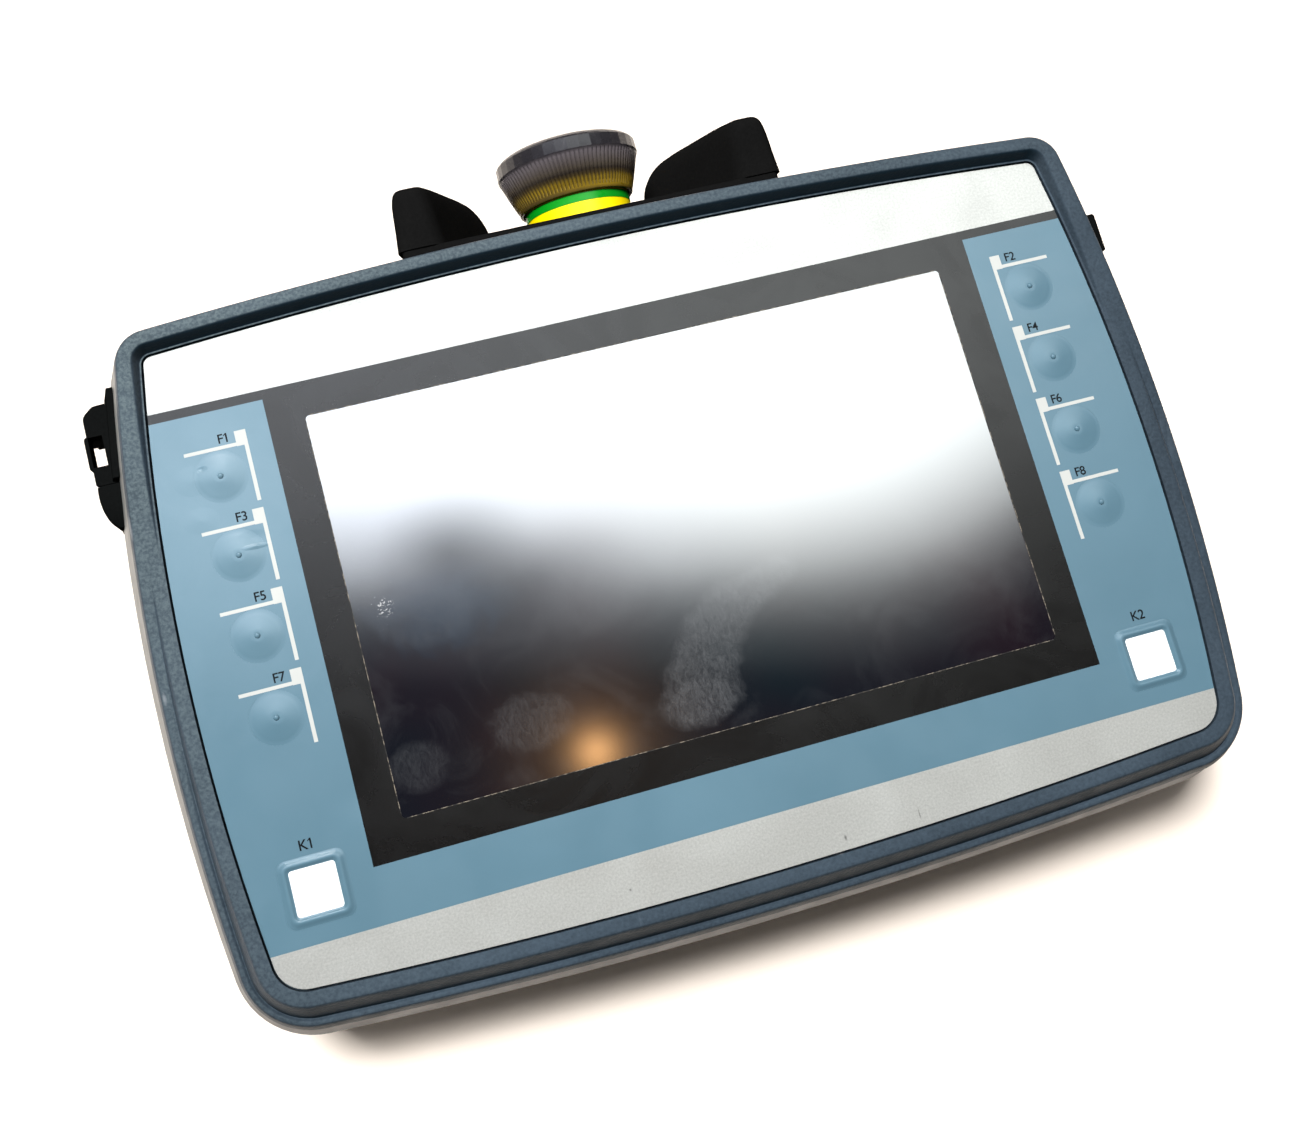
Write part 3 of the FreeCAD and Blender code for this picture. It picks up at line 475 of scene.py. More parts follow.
def tube(loops, closed=False):
    """Points and faces of a tube of quads through loops of equal length.

    A closed one joins its last loop to its first, any other one has both ends filled."""
    count = len(loops[0])
    faces = []
    for i in range(len(loops) if closed else len(loops) - 1):
        j = (i + 1) % len(loops)
        for k in range(count):
            m = (k + 1) % count
            faces.append((i * count + k, i * count + m, j * count + m, j * count + k))
    if not closed:
        last = (len(loops) - 1) * count
        faces += [tuple(range(count)), tuple(range(last, last + count))]
    return [p for loop in loops for p in loop], faces


def patch(corners, low, high):
    """A thin flat solid on a polygon."""
    count = len(corners)
    points = [(x, y, z) for z in (low, high) for x, y in corners]
    faces = [tuple(range(count)), tuple(range(count, 2 * count))]
    faces += [(i, (i + 1) % count, (i + 1) % count + count, i + count) for i in range(count)]
    return points, faces


def join(name, parts):
    """One mesh of several lists of points and faces."""
    points, faces = [], []
    for some_points, some_faces in parts:
        base = len(points)
        points += some_points
        faces += [tuple(i + base for i in face) for face in some_faces]
    return mesh_of(name, points, faces)


def rect(x0, x1, y0, y1):
    return [(x0, y0), (x1, y0), (x1, y1), (x0, y1)]


def middle(node):
    """The middle of a CAD node on the front."""
    low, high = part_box(node)
    return (low.x + high.x) / 2, (low.y + high.y) / 2


def squared(value, power):
    """Keeps the sign of a cosine or sine while its size is raised to a power, for a squarish round."""
    return math.copysign(abs(value) ** power, value)


def slice_at(edit, where, normal, close=1e-6, **keeping):
    """Cuts through a whole mesh along a plane."""
    parts = list(edit.verts) + list(edit.edges) + list(edit.faces)
    return bmesh.ops.bisect_plane(edit, geom=parts, dist=close, plane_co=where, plane_no=normal, **keeping)


def evaluated(item, name):
    """The item's mesh with its modifiers applied; the item itself is removed."""
    bpy.context.view_layer.update()
    graph = bpy.context.evaluated_depsgraph_get()
    mesh = bpy.data.meshes.new_from_object(item.evaluated_get(graph))
    mesh.name = name
    bpy.data.objects.remove(item)
    return mesh


def softened(node, width, segments, angle, reshape=None, cut=None):
    """A copy of a CAD node's mesh with its sharp edges rounded; it replaces the node.

    Before that, reshape may move its points and cut, a box's two corners, may take a bite out of it."""
    mesh = frame["nodes"][node].data.copy()
    edit = bmesh.new()
    edit.from_mesh(mesh)
    bmesh.ops.remove_doubles(edit, verts=edit.verts, dist=0.002 * MM)
    bmesh.ops.dissolve_limit(edit, angle_limit=math.radians(1.5), verts=edit.verts, edges=edit.edges)
    if reshape:
        reshape(edit)
    edit.to_mesh(mesh)
    edit.free()
    item = loose(node + "_work", mesh)
    if cut:
        (x0, y0, z0), (x1, y1, z1) = cut
        bite = loose(node + "_bite", join(node + "_bite", [patch(rect(x0, x1, y0, y1), z0, z1)]))
        taking = item.modifiers.new("bite", "BOOLEAN")
        taking.object = bite
        taking.operation = "DIFFERENCE"
        taking.solver = "EXACT"
    rounding = item.modifiers.new("rounding", "BEVEL")
    rounding.width = width
    rounding.segments = segments
    rounding.limit_method = "ANGLE"
    rounding.angle_limit = math.radians(angle)
    mesh = evaluated(item, node + "_soft")
    if cut:
        bpy.data.objects.remove(bite)
    piece(node + "_soft", mesh, [looks[slot_of[node]]], node)


# ---- the outline ----
def corner_centre(arc_y, arc_r, corner_r, sign):
    """The middle of the corner between the right side arc and the top (+1) or bottom (-1) arc."""
    side_c = Vector((SIDE_X - SIDE_R, SIDE_MID_Y))
    end_c = Vector((0, arc_y - sign * arc_r))
    r1, r2 = SIDE_R - corner_r, arc_r - corner_r
    across = end_c - side_c
    d = across.length
    along = (r1 * r1 - r2 * r2 + d * d) / (2 * d)
    up = math.sqrt(r1 * r1 - along * along)
    across.normalize()
    normal = Vector((-across.y, across.x))
    return max((side_c + across * along + normal * s * up for s in (1, -1)), key=lambda p: p.x)


def outline():
    """Points on the film's outline with their outward normals, once round from the lower middle."""
    side_c = Vector((SIDE_X - SIDE_R, SIDE_MID_Y))
    low_c, high_c = Vector((0, BOTTOM_Y + BOTTOM_R)), Vector((0, TOP_Y - TOP_R))
    low = corner_centre(BOTTOM_Y, BOTTOM_R, BOTTOM_CORNER_R, -1)
    high = corner_centre(TOP_Y, TOP_R, TOP_CORNER_R, 1)

    def angle(centre, point):
        return math.atan2(point.y - centre.y, point.x - centre.x)

    arcs = [(low_c, BOTTOM_R, -math.pi / 2, angle(low_c, low), 60),
            (low, BOTTOM_CORNER_R, angle(low_c, low), angle(side_c, low), 20),
            (side_c, SIDE_R, angle(side_c, low), angle(side_c, high), 90),
            (high, TOP_CORNER_R, angle(side_c, high), angle(high_c, high), 20),
            (high_c, TOP_R, angle(high_c, high), math.pi / 2, 60)]
    half = []
    for centre, r, a0, a1, count in arcs:
        for step in range(count):
            a = a0 + (a1 - a0) * step / count
            out = Vector((math.cos(a), math.sin(a)))
            half.append((centre + out * r, out))
    half.append((Vector((0, TOP_Y)), Vector((0, 1))))
    other = [(Vector((-p.x, p.y)), Vector((-n.x, n.y))) for p, n in reversed(half[1:-1])]
    return half + other


edge = outline()


# ---- bumper ----
def soft_max(a, b, r):
    """The larger of two heights, with a rounded inner corner of about r."""
    return 0.5 * (a + b + math.sqrt((a - b) ** 2 + r * r))


def soft_min(a, b, r):
    return -soft_max(-a, -b, r)


def bumper_section(y):
    """(offset, height above the film) points of the bumper's visible surface where the outline is at y."""
    lip = LIP_SLOPE * (y - LIP_PIVOT_Y)
    sunk = min(1.0, max(0.0, (-lip - 0.8 * MM) / (3 * MM)))
    outer_end = WALL_AT_FACE - FLARE * (lip - LIP_THICK)
    valley = RIM_AT_FACE - RIM_FLARE * lip
    points = []
    steps = 110
    for i in range(steps + 1):
        o = GROOVE + (outer_end - GROOVE) * i / steps
        rim = soft_min(RIM_TOP, (RIM_AT_FACE + 0.1 * MM - o) / RIM_FLARE, 0.9 * MM)
        inner = RIM_TOP + (o - LIP_START) / LIP_RISE
        outer = (WALL_AT_FACE - o) / FLARE
        crest = soft_min(soft_min(inner, lip, 0.9 * MM), outer, 1.1 * MM)
        height = soft_max(rim, crest, 0.25 * MM)
        dip = math.exp(-((o - valley - DIP_PAST) / DIP_HALF) ** 2)
        points.append((o, height - sunk * DIP * dip))
    return points


def bumper():
    """The bumper's visible section with its hidden underside, carried once round the outline."""
    loops = []
    for point, out in edge:
        section = bumper_section(point.y + out.y * LIP_MIDDLE)
        end, low = section[-1]
        start = [(LEDGE_IN, LEDGE_LOW), (LEDGE_OUT, LEDGE_LOW), (LEDGE_OUT, GROOVE_LOW), (GROOVE, GROOVE_LOW),
                 (GROOVE, -0.2 * MM), (GROOVE, section[0][1] - 0.06 * MM)]
        bottom = min(low - 0.3 * MM, UNDERSIDE)
        under = [(end - 0.4 * MM, low - 0.25 * MM), (1.2 * MM, low - 0.25 * MM), (1.0 * MM, bottom),
                 (LEDGE_IN, bottom)]
        extra = max(0.0, out.x) * (RIGHT_EXTRA - RIGHT_EXTRA_SLOPE * point.y)
        wider = 1 + extra / WALL_AT_FACE
        loop = []
        for offset, height in start + section + under:
            flat = point + out * (offset * wider if offset > GROOVE else offset)
            loop.append((*flat, FACE + height))
        loops.append(loop)
    return mesh_of("bumper", *tube(loops, closed=True))


piece("bumper", bumper(), [looks["frame_blue"]], "front_frame", sharp=50)


# ---- printed film ----
def printed_film():
    """The film cut into its printed fields: blue 0, silver 1, dark 2."""
    mesh = frame["nodes"]["keypad_overlay"].data.copy()
    edit = bmesh.new()
    edit.from_mesh(mesh)
    cuts = [((x, 0, 0), (1, 0, 0)) for x in (-BORDER_X, BORDER_X)]
    cuts += [((0, y, 0), (0, 1, 0)) for y in (STRIP_HIGH, STRIP_LOW, BORDER_LOW, BLUE_LOW)]
    for where, normal in cuts:
        slice_at(edit, where, normal, 1e-7)
    for face in edit.faces:
        x, y = face.calc_center_median().xy
        if y > STRIP_HIGH or y < BLUE_LOW:
            face.material_index = 1
        elif y > STRIP_LOW or (abs(x) < BORDER_X and y > BORDER_LOW):
            face.material_index = 2
        else:
            face.material_index = 0
    edit.to_mesh(mesh)
    edit.free()
    return mesh


piece("printed_film", printed_film(), [looks["film"], film_silver, film_dark], "keypad_overlay")


def window_edge():
    """The film's cut edge around the window."""
    half = 0.08 * MM
    to_x, to_y = SCREEN_X - 1 * MM, SCREEN_Y - 1 * MM
    bars = [rect(-to_x, to_x, y - half, y + half) for y in (-SCREEN_Y, SCREEN_Y)]
    bars += [rect(x - half, x + half, -to_y, to_y) for x in (-SCREEN_X, SCREEN_X)]
    return join("window_edge", [patch(bar, FACE - 3 * PRINT, FACE + 0.5 * PRINT) for bar in bars])


def dusty(name):
    """A cut edge with dust caught on it."""
    material, tree, surface = shader(name, (0.03, 0.028, 0.025), 0.7)
    dust = spread(tree, noise(tree, 700, 3, 0.7), 0.45, 0.6, 0, 1)
    tint = blend_colors(tree, dust, (0.012, 0.011, 0.010), (0.20, 0.17, 0.13))
    paint(tree, surface, tint)
    return material


piece("window_edge", window_edge(), [dusty("edge_dust")], "keypad_overlay", replaces=False)

KEY_REACH = 0.05 * MM  # closes the gap between a key's edge and the film around it
f_keys = ["key_f" + str(i) for i in range(1, 9)]
k_keys = ["key_k1", "key_k2"]

# a bracket's top corner, towards the screen and up from its key's middle
BRACKET_IN, BRACKET_UP = 7.3 * MM, 9.4 * MM
# its upright, block and arm: sideways away from the screen and up from that corner, in mm
BRACKET = [(0, 0.85, -16.6, 0), (0.85, 2.5, -3.5, 0), (2.5, 14.1, -3.4, -2.6)]


def key_marks():
    """The white bracket beside each round key, with its square block."""
    parts = []
    for node in f_keys:
        x, y = middle(node)
        side = 1 if x > 0 else -1
        inner, top = abs(x) - BRACKET_IN, y + BRACKET_UP
        for x0, x1, y0, y1 in BRACKET:
            corners = rect(side * (inner + x0 * MM), side * (inner + x1 * MM), top + y0 * MM, top + y1 * MM)
            parts.append(patch(corners, FACE - PRINT, FACE + PRINT))
    return join("key_marks", parts)


piece("key_marks", key_marks(), [print_pale], "keypad_overlay", replaces=False)

CAPITALS = 0.7  # a capital's height as a share of the font's size
LABEL_NARROW = 0.98
# a label's place towards the screen and up from its key's middle, and its capitals' height
F_LABEL_IN, F_LABEL_UP, F_LABEL_HIGH = 2.3 * MM, 8.3 * MM, 2.1 * MM
K_LABEL_UP, K_LABEL_HIGH = 9.5 * MM, 2.2 * MM


def label(text, x, y, height):
    """Print of a key's name, centred on (x, y)."""
    curve = bpy.data.curves.new("label_" + text, "FONT")
    curve.body = text
    curve.size = height / CAPITALS
    curve.space_character = 0.95
    curve.align_x = "CENTER"
    curve.align_y = "CENTER"
    curve.extrude = PRINT
    curve.offset = 0.035 * MM
    mesh = evaluated(loose("label_" + text + "_work", curve), "label_" + text)
    mesh.transform(Matrix.Translation((x, y, FACE)) @ Matrix.Diagonal((LABEL_NARROW, 1, 1, 1)))
    if text.endswith("1"):
        digit_flag(text, mesh)
    piece("label_" + text, mesh, [print_grey], "keypad_overlay", replaces=False)


def digit_flag(text, mesh):
    """The short slanted stroke at the top of a 1, which is a label's last character."""
    right = max(v.co.x for v in mesh.vertices)
    left = min(v.co.x for v in mesh.vertices if v.co.x > right - 0.45 * MM)
    top = max(v.co.y for v in mesh.vertices)
    right, left = left + 0.1 * MM, left - 0.42 * MM
    stroke = [(right, top), (left, top - 0.42 * MM), (left, top - 0.66 * MM), (right, top - 0.3 * MM)]
    flag = join("flag_" + text, [patch(stroke, FACE - PRINT, FACE + PRINT)])
    piece("flag_" + text, flag, [print_grey], "keypad_overlay", replaces=False)


for number, node in enumerate(f_keys, start=1):
    x, y = middle(node)
    side = 1 if x > 0 else -1
    label("F" + str(number), x - side * F_LABEL_IN, y + F_LABEL_UP, F_LABEL_HIGH)
for number, node in enumerate(k_keys, start=1):
    x, y = middle(node)
    label("K" + str(number), x, y + K_LABEL_UP, K_LABEL_HIGH)


# ---- keys ----
DOME, NUB = 0.70 * MM, 0.66 * MM  # the dome's rise and the radius of the nub on it
KEY_STEPS = 64


def round_key(node):
    """A shallow dome with a centring nub, on its stem."""
    low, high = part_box(node)
    x, y = middle(node)
    r = (high.x - low.x) / 2 + KEY_REACH
    top = high.z - FACE
    profile = [(2.5 * MM, low.z - FACE), (2.5 * MM, -0.5 * MM), (r, -0.5 * MM), (r, -0.02 * MM)]
    for i in range(1, 15):
        t = i / 15
        rise = DOME * (0.7 * t + 0.3 * (0.5 - 0.5 * math.cos(math.pi * t))) * min(1, 4 * t)
        profile.append((r - 0.05 * MM - (r - 1.0 * MM) * t, rise))
    foot = DOME - 0.05 * MM
    for i in range(7):
        a = math.pi / 2 * i / 7
        profile.append((NUB * math.cos(a), foot + (top - foot) * math.sin(a)))
    profile.append((0.08 * MM, top))
    loops = []
    for radius, height in profile:
        turns = [2 * math.pi * k / KEY_STEPS for k in range(KEY_STEPS)]
        loops.append([(x + radius * math.cos(a), y + radius * math.sin(a), FACE + height) for a in turns])
    piece(node + "_dome", mesh_of(node + "_dome", *tube(loops)), [looks["film"]], node, sharp=60)


for node in f_keys:
    round_key(node)


def rounded_square(half, r, steps=8):
    """Points of a square with rounded corners, anticlockwise."""
    points = []
    for corner in range(4):
        start = corner * math.pi / 2
        cx = (half - r) * (1 if corner in (0, 3) else -1)
        cy = (half - r) * (1 if corner in (0, 1) else -1)
        for i in range(steps + 1):
            a = start + math.pi / 2 * i / steps
            points.append((cx + r * math.cos(a), cy + r * math.sin(a)))
    return points


# a square key's section: inset from its edge, height and corner radius in mm; heights above the film are for
# a key that stands RIDGE_TOP above it
RIDGE_TOP = 0.68
RIDGE = [(0.15, -0.5, 2.3), (0, -0.5, 2.0), (0, -0.02, 2.0), (0.15, 0.02, 2.0), (0.4, 0.10, 1.9),
         (0.7, 0.27, 1.8), (1.0, 0.45, 1.6), (1.3, 0.55, 1.4), (1.6, 0.53, 1.2), (1.85, 0.38, 1.0),
         (2.05, 0.20, 0.8), (2.4, 0.06, 0.7)]
FIELD_HALF = 5.05 * MM


def square_key(node):
    """The embossed ridge around a flat field, on its film square and stem."""
    low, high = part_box(node)
    x, y = middle(node)
    half = (high.x - low.x) / 2 + KEY_REACH
    ridge = high.z - FACE
    loops = []
    for inset, height, r in RIDGE:
        z = FACE + (height / RIDGE_TOP * ridge if height > 0 else height * MM)
        loops.append([(x + a, y + b, z) for a, b in rounded_square(half - inset * MM, r * MM)])
    piece(node + "_ridge", mesh_of(node + "_ridge", *tube(loops)), [looks["film"]], node, sharp=60)
    field = FACE + RIDGE[-1][1] / RIDGE_TOP * ridge
    corners = [(x + a, y + b) for a, b in rounded_square(FIELD_HALF, 0.2 * MM, 4)]
    white = join(node + "_field", [patch(corners, field - PRINT, field + PRINT)])
    piece(node + "_field", white, [print_white], node, replaces=False)


for node in k_keys:
    square_key(node)


# ---- emergency stop ----
CAP_RIBS, CAP_FACETS = 96, 38
RIB_STEPS = 12  # points across one rib
RIBS_LOW, RIBS_HIGH, RIB_DEEP = 0.9 * MM, 9.0 * MM, 0.42 * MM


def cap_radius(r, u, angle):
    """Fine ribs up the flared skirt and flat facets around the top band."""
    if 14.5 * MM < r and RIBS_LOW < u < RIBS_HIGH:
        fade = min(1, (u - RIBS_LOW) / (0.5 * MM), (RIBS_HIGH - u) / (0.4 * MM))
        return r - RIB_DEEP * fade * (0.5 + 0.5 * math.cos(CAP_RIBS * angle)) ** 3
    if r > 17.0 * MM and u >= 9.3 * MM:
        wedge = 2 * math.pi / CAP_FACETS
        inside = (angle % wedge) - wedge / 2
        return r * math.cos(wedge / 2) / math.cos(inside)
    return r


def stop_cap():
    """The head as a shell: ribbed and faceted outside, plain inside."""
    profile = [(13.8, 0.05), (13.95, 0.0), (14.45, 0.0), (14.6, 0.15), (14.72, 0.6), (14.8, 0.9)]
    profile += [(14.8 + 3.0 * (step / 9) ** 0.95, 0.9 + 8.1 * step / 9) for step in range(1, 10)]
    profile += [(17.95, 9.25), (18.14, 9.5), (18.14, 9.7), (18.0, 12.4), (17.6, 12.9),
                (16.9, 13.4), (15.8, 13.9), (13.5, 14.45), (10, 14.85), (6, 15.1), (2.5, 15.2), (0.4, 15.2)]
    inner = [(0.4, 12.0), (4.05, 12.0), (4.05, 8.3), (13.2, 8.3), (13.75, 7.8)]
    loops = []
    steps = CAP_RIBS * RIB_STEPS
    for i, (r, u) in enumerate(profile + inner):
        loop = []
        for k in range(steps):
            a = 2 * math.pi * k / steps
            here = cap_radius(r * MM, u * MM, a) if i < len(profile) else r * MM
            loop.append(on_stop(here * math.cos(a), here * math.sin(a), u * MM))
        loops.append(loop)
    return mesh_of("stop_cap_shell", *tube(loops, closed=True))


piece("stop_cap_shell", stop_cap(), [looks["stop_cap"]], "estop_cap", sharp=5)


# ---- guard ----
SEAT_U = -7.5 * MM  # the guard's plate ends here along the stop's axis
HORN_FRONT, HORN_BACK = 24.5 * MM, -24.8 * MM
HORN_ROUND = 3.6 * MM
HORN_FLARE = 1.0 * MM  # how much wider a horn is at its foot
PLATE_NARROW = 0.985  # keeps the plate's sides inside the horns' outer sides
# place along the horn, its inner and outer side, and its height along the stop's axis, in mm
HORN_STATIONS = [(24.5, 37.5, 46.6, 6.8), (14, 34.0, 44.8, 8.3), (-8, 26.4, 41.2, 10.2),
                 (-17, 23.4, 37.2, 10.3), (-21, 21.8, 35.0, 8.6), (-24.8, 20.4, 33.0, 4.8)]


def horn_size(v):
    """Inner side, outer side and height at v, by straight lines between the stations."""
    for first, second in zip(HORN_STATIONS, HORN_STATIONS[1:]):
        if v >= second[0] * MM:
            break
    t = (v - first[0] * MM) / ((second[0] - first[0]) * MM)
    return [(a + (b - a) * t) * MM for a, b in zip(first[1:], second[1:])]


def horn(side):
    """A rounded wall that sweeps back and inward beside the stop, as a loft of sections along it."""
    loops = []
    steps = 48
    for step in range(steps + 1):
        a = math.pi * step / steps
        v = HORN_BACK + (HORN_FRONT - HORN_BACK) * (0.5 - 0.5 * math.cos(a))
        around = [horn_size(min(HORN_FRONT, max(HORN_BACK, v + shift * MM)))
                  for shift in (-3, -1.5, 0, 1.5, 3)]
        inner, outer, top = (sum(values) / len(values) for values in zip(*around))
        to_end = min(v - HORN_BACK, HORN_FRONT - v, HORN_ROUND)
        shrink = 0.75 * (HORN_ROUND - math.sqrt(HORN_ROUND ** 2 - (HORN_ROUND - to_end) ** 2))
        half, middle_x = (outer - inner) / 2 - shrink, (outer + inner) / 2
        top -= shrink
        loop = []
        for k in range(41):
            b = math.pi * k / 40
            rise = math.sin(b) ** 0.40
            u = SEAT_U + (top - SEAT_U) * rise
            x = middle_x + (half + HORN_FLARE * (1 - rise) ** 2) * squared(math.cos(b), 0.45)
            loop.append(on_stop(side * x, v, u))
        loops.append(loop)
    return tube(loops)


def guard():
    """The CAD plate under the stop with the rounded horns on it."""
    edit = bmesh.new()
    edit.from_mesh(frame["nodes"]["guard_collar"].data)
    bmesh.ops.remove_doubles(edit, verts=edit.verts, dist=0.002 * MM)
    cut = slice_at(edit, on_stop(0, 0, SEAT_U - 0.02 * MM), STOP_AXIS, clear_outer=True)
    rim = [e for e in cut["geom_cut"] if isinstance(e, bmesh.types.BMEdge)]
    bmesh.ops.triangle_fill(edit, use_beauty=True, edges=rim)
    edit.verts.index_update()
    for v in edit.verts:
        v.co.x = STOP_POINT.x + (v.co.x - STOP_POINT.x) * PLATE_NARROW
    plate = [v.co.copy() for v in edit.verts], [tuple(v.index for v in face.verts) for face in edit.faces]
    edit.free()
    return join("guard", [plate, horn(-1), horn(1)])


piece("guard", guard(), [looks["black_plastic"]], "guard_collar", sharp=40)


# ---- side covers, and everything that keeps its CAD shape ----
LOBE_MIDDLE, LOBE_ROUND = Vector((-121.8, 59.1)) * MM, 3.6 * MM
STRAP_TIP, INTO_WALL = 34.0 * MM, 0.3 * MM  # the strap's lower end, and how far its back reaches inside


def round_lobe(edit):
    """Turns the cover's upper outer corner into one large round."""
    for step in range(1, 12):
        a = math.pi / 2 + math.pi / 2 * step / 12
        slice_at(edit, (*LOBE_MIDDLE, 0), (-math.sin(a), math.cos(a), 0))
    for v in edit.verts:
        out = Vector((v.co.x, v.co.y)) - LOBE_MIDDLE
        if out.x < 0 < out.y and out.length > LOBE_ROUND:
            out *= LOBE_ROUND / out.length
            v.co.x, v.co.y = LOBE_MIDDLE + out


def wall_x(y, z):
    """Where the left wall's surface is."""
    drop = (y - SIDE_MID_Y) ** 2 / (2 * SIDE_R)
    return -(SIDE_X - drop + WALL_AT_FACE + FLARE * (FACE - z))


def strap():
    """The cover's tail: a fat rubber tongue that thins down to the wall in one curve."""
    low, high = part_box("port_cover_strap")
    middle_z, top = (low.z + high.z) / 2, high.y + 0.25 * MM
    thick = wall_x(top, middle_z) - low.x + 0.2 * MM
    loops = []
    for step in range(19):
        t = math.sin(math.pi / 2 * step / 18) * 0.998
        y = top + (STRAP_TIP - top) * t
        width = thick * (1 - t ** 2) ** 0.6
        half = 5.0 * MM * (1 - 0.4 * t ** 4)
        loop = []
        for k in range(25):
            b = math.pi * k / 24
            z = middle_z + half * squared(math.cos(b), 0.25)
            out = max(0.0, math.sin(b)) ** 0.25
            loop.append((wall_x(y, z) * (1 - out) + (wall_x(y, middle_z) - width) * out, y, z))
        for z in (middle_z - half, middle_z + half):
            loop.append((wall_x(y, z) + INTO_WALL, y, z))
        loops.append(loop)
    return mesh_of("port_strap", *tube(loops))


# the pull lug is only a strap over its slot, so the cover is open below it
cover_low, cover_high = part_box("port_cover")
LUG_UNDERSIDE = (cover_low.z + cover_high.z) / 2 + 0.6 * MM
UNDER_LUG = ((-130 * MM, 48.4 * MM, cover_low.z - 1 * MM), (-121.9 * MM, 55.6 * MM, LUG_UNDERSIDE))
softened("port_cover", 0.5 * MM, 3, 35, round_lobe, UNDER_LUG)
piece("port_strap", strap(), [looks["black_rubber"]], "port_cover_strap", sharp=50)
softened("service_cap", 0.6 * MM, 3, 40)
softened("service_cover", 0.3 * MM, 2, 40)

for node, item in frame["nodes"].items():
    if item.hide_render:
        continue
    item.data.materials.clear()
    item.data.materials.append(looks[slot_of[node]])
    item.data.shade_smooth()
    item.data.set_sharp_from_angle(angle=math.radians(32))


# ---- stage ----
def plane(name, corners, material):
    """A flat face of the stage, which is not part of the object."""
    mesh = bpy.data.meshes.new(name)
    mesh.from_pydata(corners, [], [tuple(range(len(corners)))])
    item = loose(name, mesh)
    mesh.materials.append(material)
    return item


def floor():
    material, tree, surface = shader("pale_table", (0.90, 0.80, 0.71), 0.7, Specular_IOR_Level=0.2)
    tint = blend_colors(tree, noise(tree, 40, 5), (0.89, 0.79, 0.70), (0.91, 0.82, 0.73))
    paint(tree, surface, tint)
    reach, z = 3.0, -0.0002
    plane("floor", [(-reach, -reach, z), (reach, -reach, z), (reach, reach, z), (-reach, reach, z)], material)


def card(name, x0, x1, y0, y1, z, material):
    """A level card that is seen only in reflections."""
    item = plane(name, [(x0, y0, z), (x0, y1, z), (x1, y1, z), (x1, y0, z)], material)
    item.visible_camera = False
    item.visible_diffuse = False
    item.visible_shadow = False


def glowing(name):
    """A new material without a shader, its node tree and the input that its glow goes to."""
    material = bpy.data.materials.new(name)
    material.use_nodes = True
    tree = material.node_tree
    tree.nodes.clear()
    return material, tree, tree.nodes.new("ShaderNodeOutputMaterial").inputs["Surface"]


EDGE_WAY = Vector((0.25, 0.968, 0))  # the ceiling card's edge runs across this
CURVE_FROM, CURVE = 0.25, 1.1  # right of the first its edge bends away, by this times the square
# the ceiling card's glow along EDGE_WAY: (metres, brightness as a share of the card's strength)
GLOW_STEPS = [(0.06, 0.0), (0.10, 0.035), (0.125, 0.085), (0.14, 0.14), (0.155, 0.23), (0.173, 0.38),
              (0.195, 0.53), (0.215, 0.68), (0.26, 1.0)]
CEILING_Z = 1.06
LAMP_PLACE, LAMP_CORE, LAMP_HALO = (0.033, -0.018, CEILING_Z), 0.056, 0.17
CEILING_COOL, CEILING_PALE, LAMP_WARM = (0.87, 0.92, 1.0), (0.95, 1.0, 1.0), (1.0, 0.52, 0.20)
# blurred dark shapes before the ceiling: middle, reach and how much they hide
SHADOWS_BEFORE_IT = [(-0.055, 0.205, 0.085, 0.060, 0.75), (0.01, 0.160, 0.12, 0.06, 0.6),
                     (-0.11, 0.148, 0.11, 0.05, 0.6)]


def glow(tree, color, strength):
    node = tree.nodes.new("ShaderNodeEmission")
    if isinstance(color, tuple):
        node.inputs["Color"].default_value = (*color, 1)
    else:
        tree.links.new(color, node.inputs["Color"])
    tree.links.new(strength, node.inputs["Strength"])
    return node.outputs["Emission"]


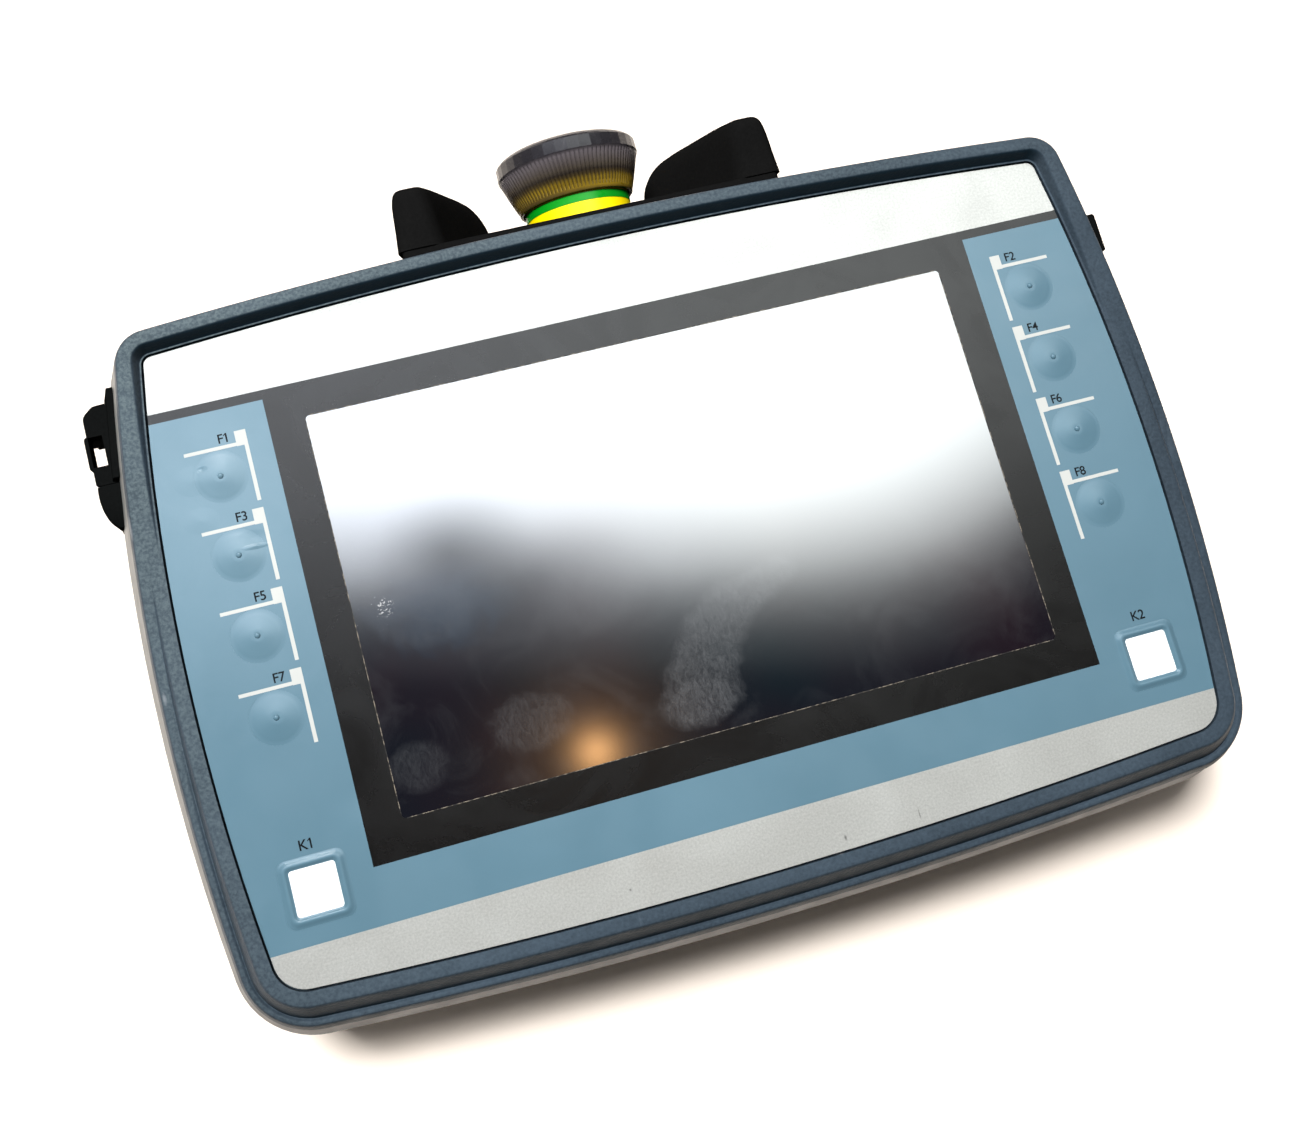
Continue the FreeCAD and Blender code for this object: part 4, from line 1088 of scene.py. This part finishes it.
def ceiling_card(x0, x1, y0, y1, strength, lamp_strength):
    """A lit ceiling that fades in along EDGE_WAY and curves away at its right, with a warm lamp before it."""
    material, tree, output = glowing("ceiling")
    along = dot_with(tree, place(tree), EDGE_WAY)
    across = dot_with(tree, place(tree), (1, 0, 0))
    past = math_node(tree, "MAXIMUM", math_node(tree, "SUBTRACT", across, CURVE_FROM), 0.0)
    curve = times(tree, times(tree, past, past), CURVE)
    wave = spread(tree, noise(tree, 3.2, 2), 0.3, 0.7, -0.006, 0.006)
    reach = math_node(tree, "ADD", math_node(tree, "SUBTRACT", along, curve), wave)
    first, last = GLOW_STEPS[0][0], GLOW_STEPS[-1][0]
    fade_in = ramp(tree, spread(tree, reach, first, last, 0, 1),
                   [((where - first) / (last - first), (bright,) * 3) for where, bright in GLOW_STEPS])
    color = blend_colors(tree, spread(tree, across, -0.1, 0.25, 0, 1), CEILING_COOL, CEILING_PALE)
    to_left = spread(tree, across, -0.35, 0.1, strength * 1.15, strength)
    bright = times(tree, fade_in, to_left)
    for x, y, reach_x, reach_y, amount in SHADOWS_BEFORE_IT:
        shadow = spread(tree, oval(tree, x, y, CEILING_Z, reach_x, reach_y), 0, 1, 1 - amount, 1)
        bright = times(tree, bright, shadow)
    bright = times(tree, bright, spread(tree, across, 0.15, 0.7, 1.0, 0.78))
    sky = glow(tree, color, bright)
    length = tree.nodes.new("ShaderNodeVectorMath")
    length.operation = "DISTANCE"
    tree.links.new(place(tree), length.inputs[0])
    length.inputs[1].default_value = LAMP_PLACE
    distance = length.outputs["Value"]
    core = math_node(tree, "POWER", spread(tree, distance, 0, LAMP_CORE, 1, 0), 4.0)
    halo = math_node(tree, "POWER", spread(tree, distance, 0, LAMP_HALO, 1, 0), 2.2)
    fade = math_node(tree, "ADD", core, times(tree, halo, 0.05))
    lamp = glow(tree, LAMP_WARM, times(tree, fade, lamp_strength))
    both = tree.nodes.new("ShaderNodeAddShader")
    tree.links.new(sky, both.inputs[0])
    tree.links.new(lamp, both.inputs[1])
    tree.links.new(both.outputs["Shader"], output)
    card("ceiling_card", x0, x1, y0, y1, CEILING_Z, material)


def glint_card(x0, x1, y0, y1, strength):
    """A small bright card that only some facets of the stop's head mirror."""
    material, tree, output = glowing("glint")
    patchy = spread(tree, noise(tree, 6, 2), 0.3, 0.7, strength * 0.7, strength)
    tree.links.new(glow(tree, (1, 1, 1), patchy), output)
    card("glint_card", x0, x1, y0, y1, CEILING_Z, material)


def light(name, location, aim, energy, size):
    """A square lamp that reflections don't show."""
    lamp = bpy.data.lights.new(name, "AREA")
    lamp.energy = energy
    lamp.size = size
    item = loose(name, lamp)
    item.location = location
    item.visible_glossy = False
    item.rotation_euler = (Vector(aim) - Vector(location)).to_track_quat("-Z", "Y").to_euler()


def studio_world():
    """Soft light from the side of the panel's top edge, little from the viewer's side."""
    world = bpy.data.worlds.new("studio")
    bpy.context.scene.world = world
    world.use_nodes = True
    tree = world.node_tree
    split = tree.nodes.new("ShaderNodeSeparateXYZ")
    coordinate = tree.nodes.new("ShaderNodeTexCoord")
    tree.links.new(coordinate.outputs["Generated"], split.inputs["Vector"])
    strength = spread(tree, split.outputs["Y"], -0.75, 0.75, 0.01, 0.30)
    tree.links.new(strength, tree.nodes["Background"].inputs["Strength"])
    tree.nodes["Background"].inputs["Color"].default_value = (1.0, 0.97, 0.94, 1)


floor()
ceiling_card(-0.9, 1.5, -0.25, 0.85, 4.6, 6.8)
glint_card(-0.42, 0.0, 0.95, 1.5, 30.0)
light("key", (-0.28, 0.38, 1.45), (0, 0.02, 0), 42.5, 0.34)
light("side_left", (-1.3, 0.5, 0.9), (0, 0, 0), 0.8, 0.9)
studio_world()
card("viewer_card", -0.9, 1.1, -0.9, 0.6, 1.4, moulded("dark_card", (0.01, 0.01, 0.012), 0.8, 0.0))
bpy.context.scene.view_settings.view_transform = "Standard"


# ---- camera: where it stood and its own axes, solved from the panel's edges and keys ----
CAMERA_PLACE = (-51.88 * MM, -50.57 * MM, FACE + 298.5 * MM)
CAMERA_RIGHT = (0.95927117, -0.26492176, 0.09805757)
CAMERA_UP = (0.24504023, 0.95307719, 0.17776151)
CAMERA_BACK = (-0.14054933, -0.14649344, 0.97917596)
camera_data = bpy.data.cameras.new("camera")
camera_data.sensor_width = 36
camera_data.lens = 37.27
camera = loose("camera", camera_data)
turn = Matrix((CAMERA_RIGHT, CAMERA_UP, CAMERA_BACK)).transposed().to_4x4()
camera.matrix_world = Matrix.Translation(CAMERA_PLACE) @ turn
bpy.context.scene.camera = camera
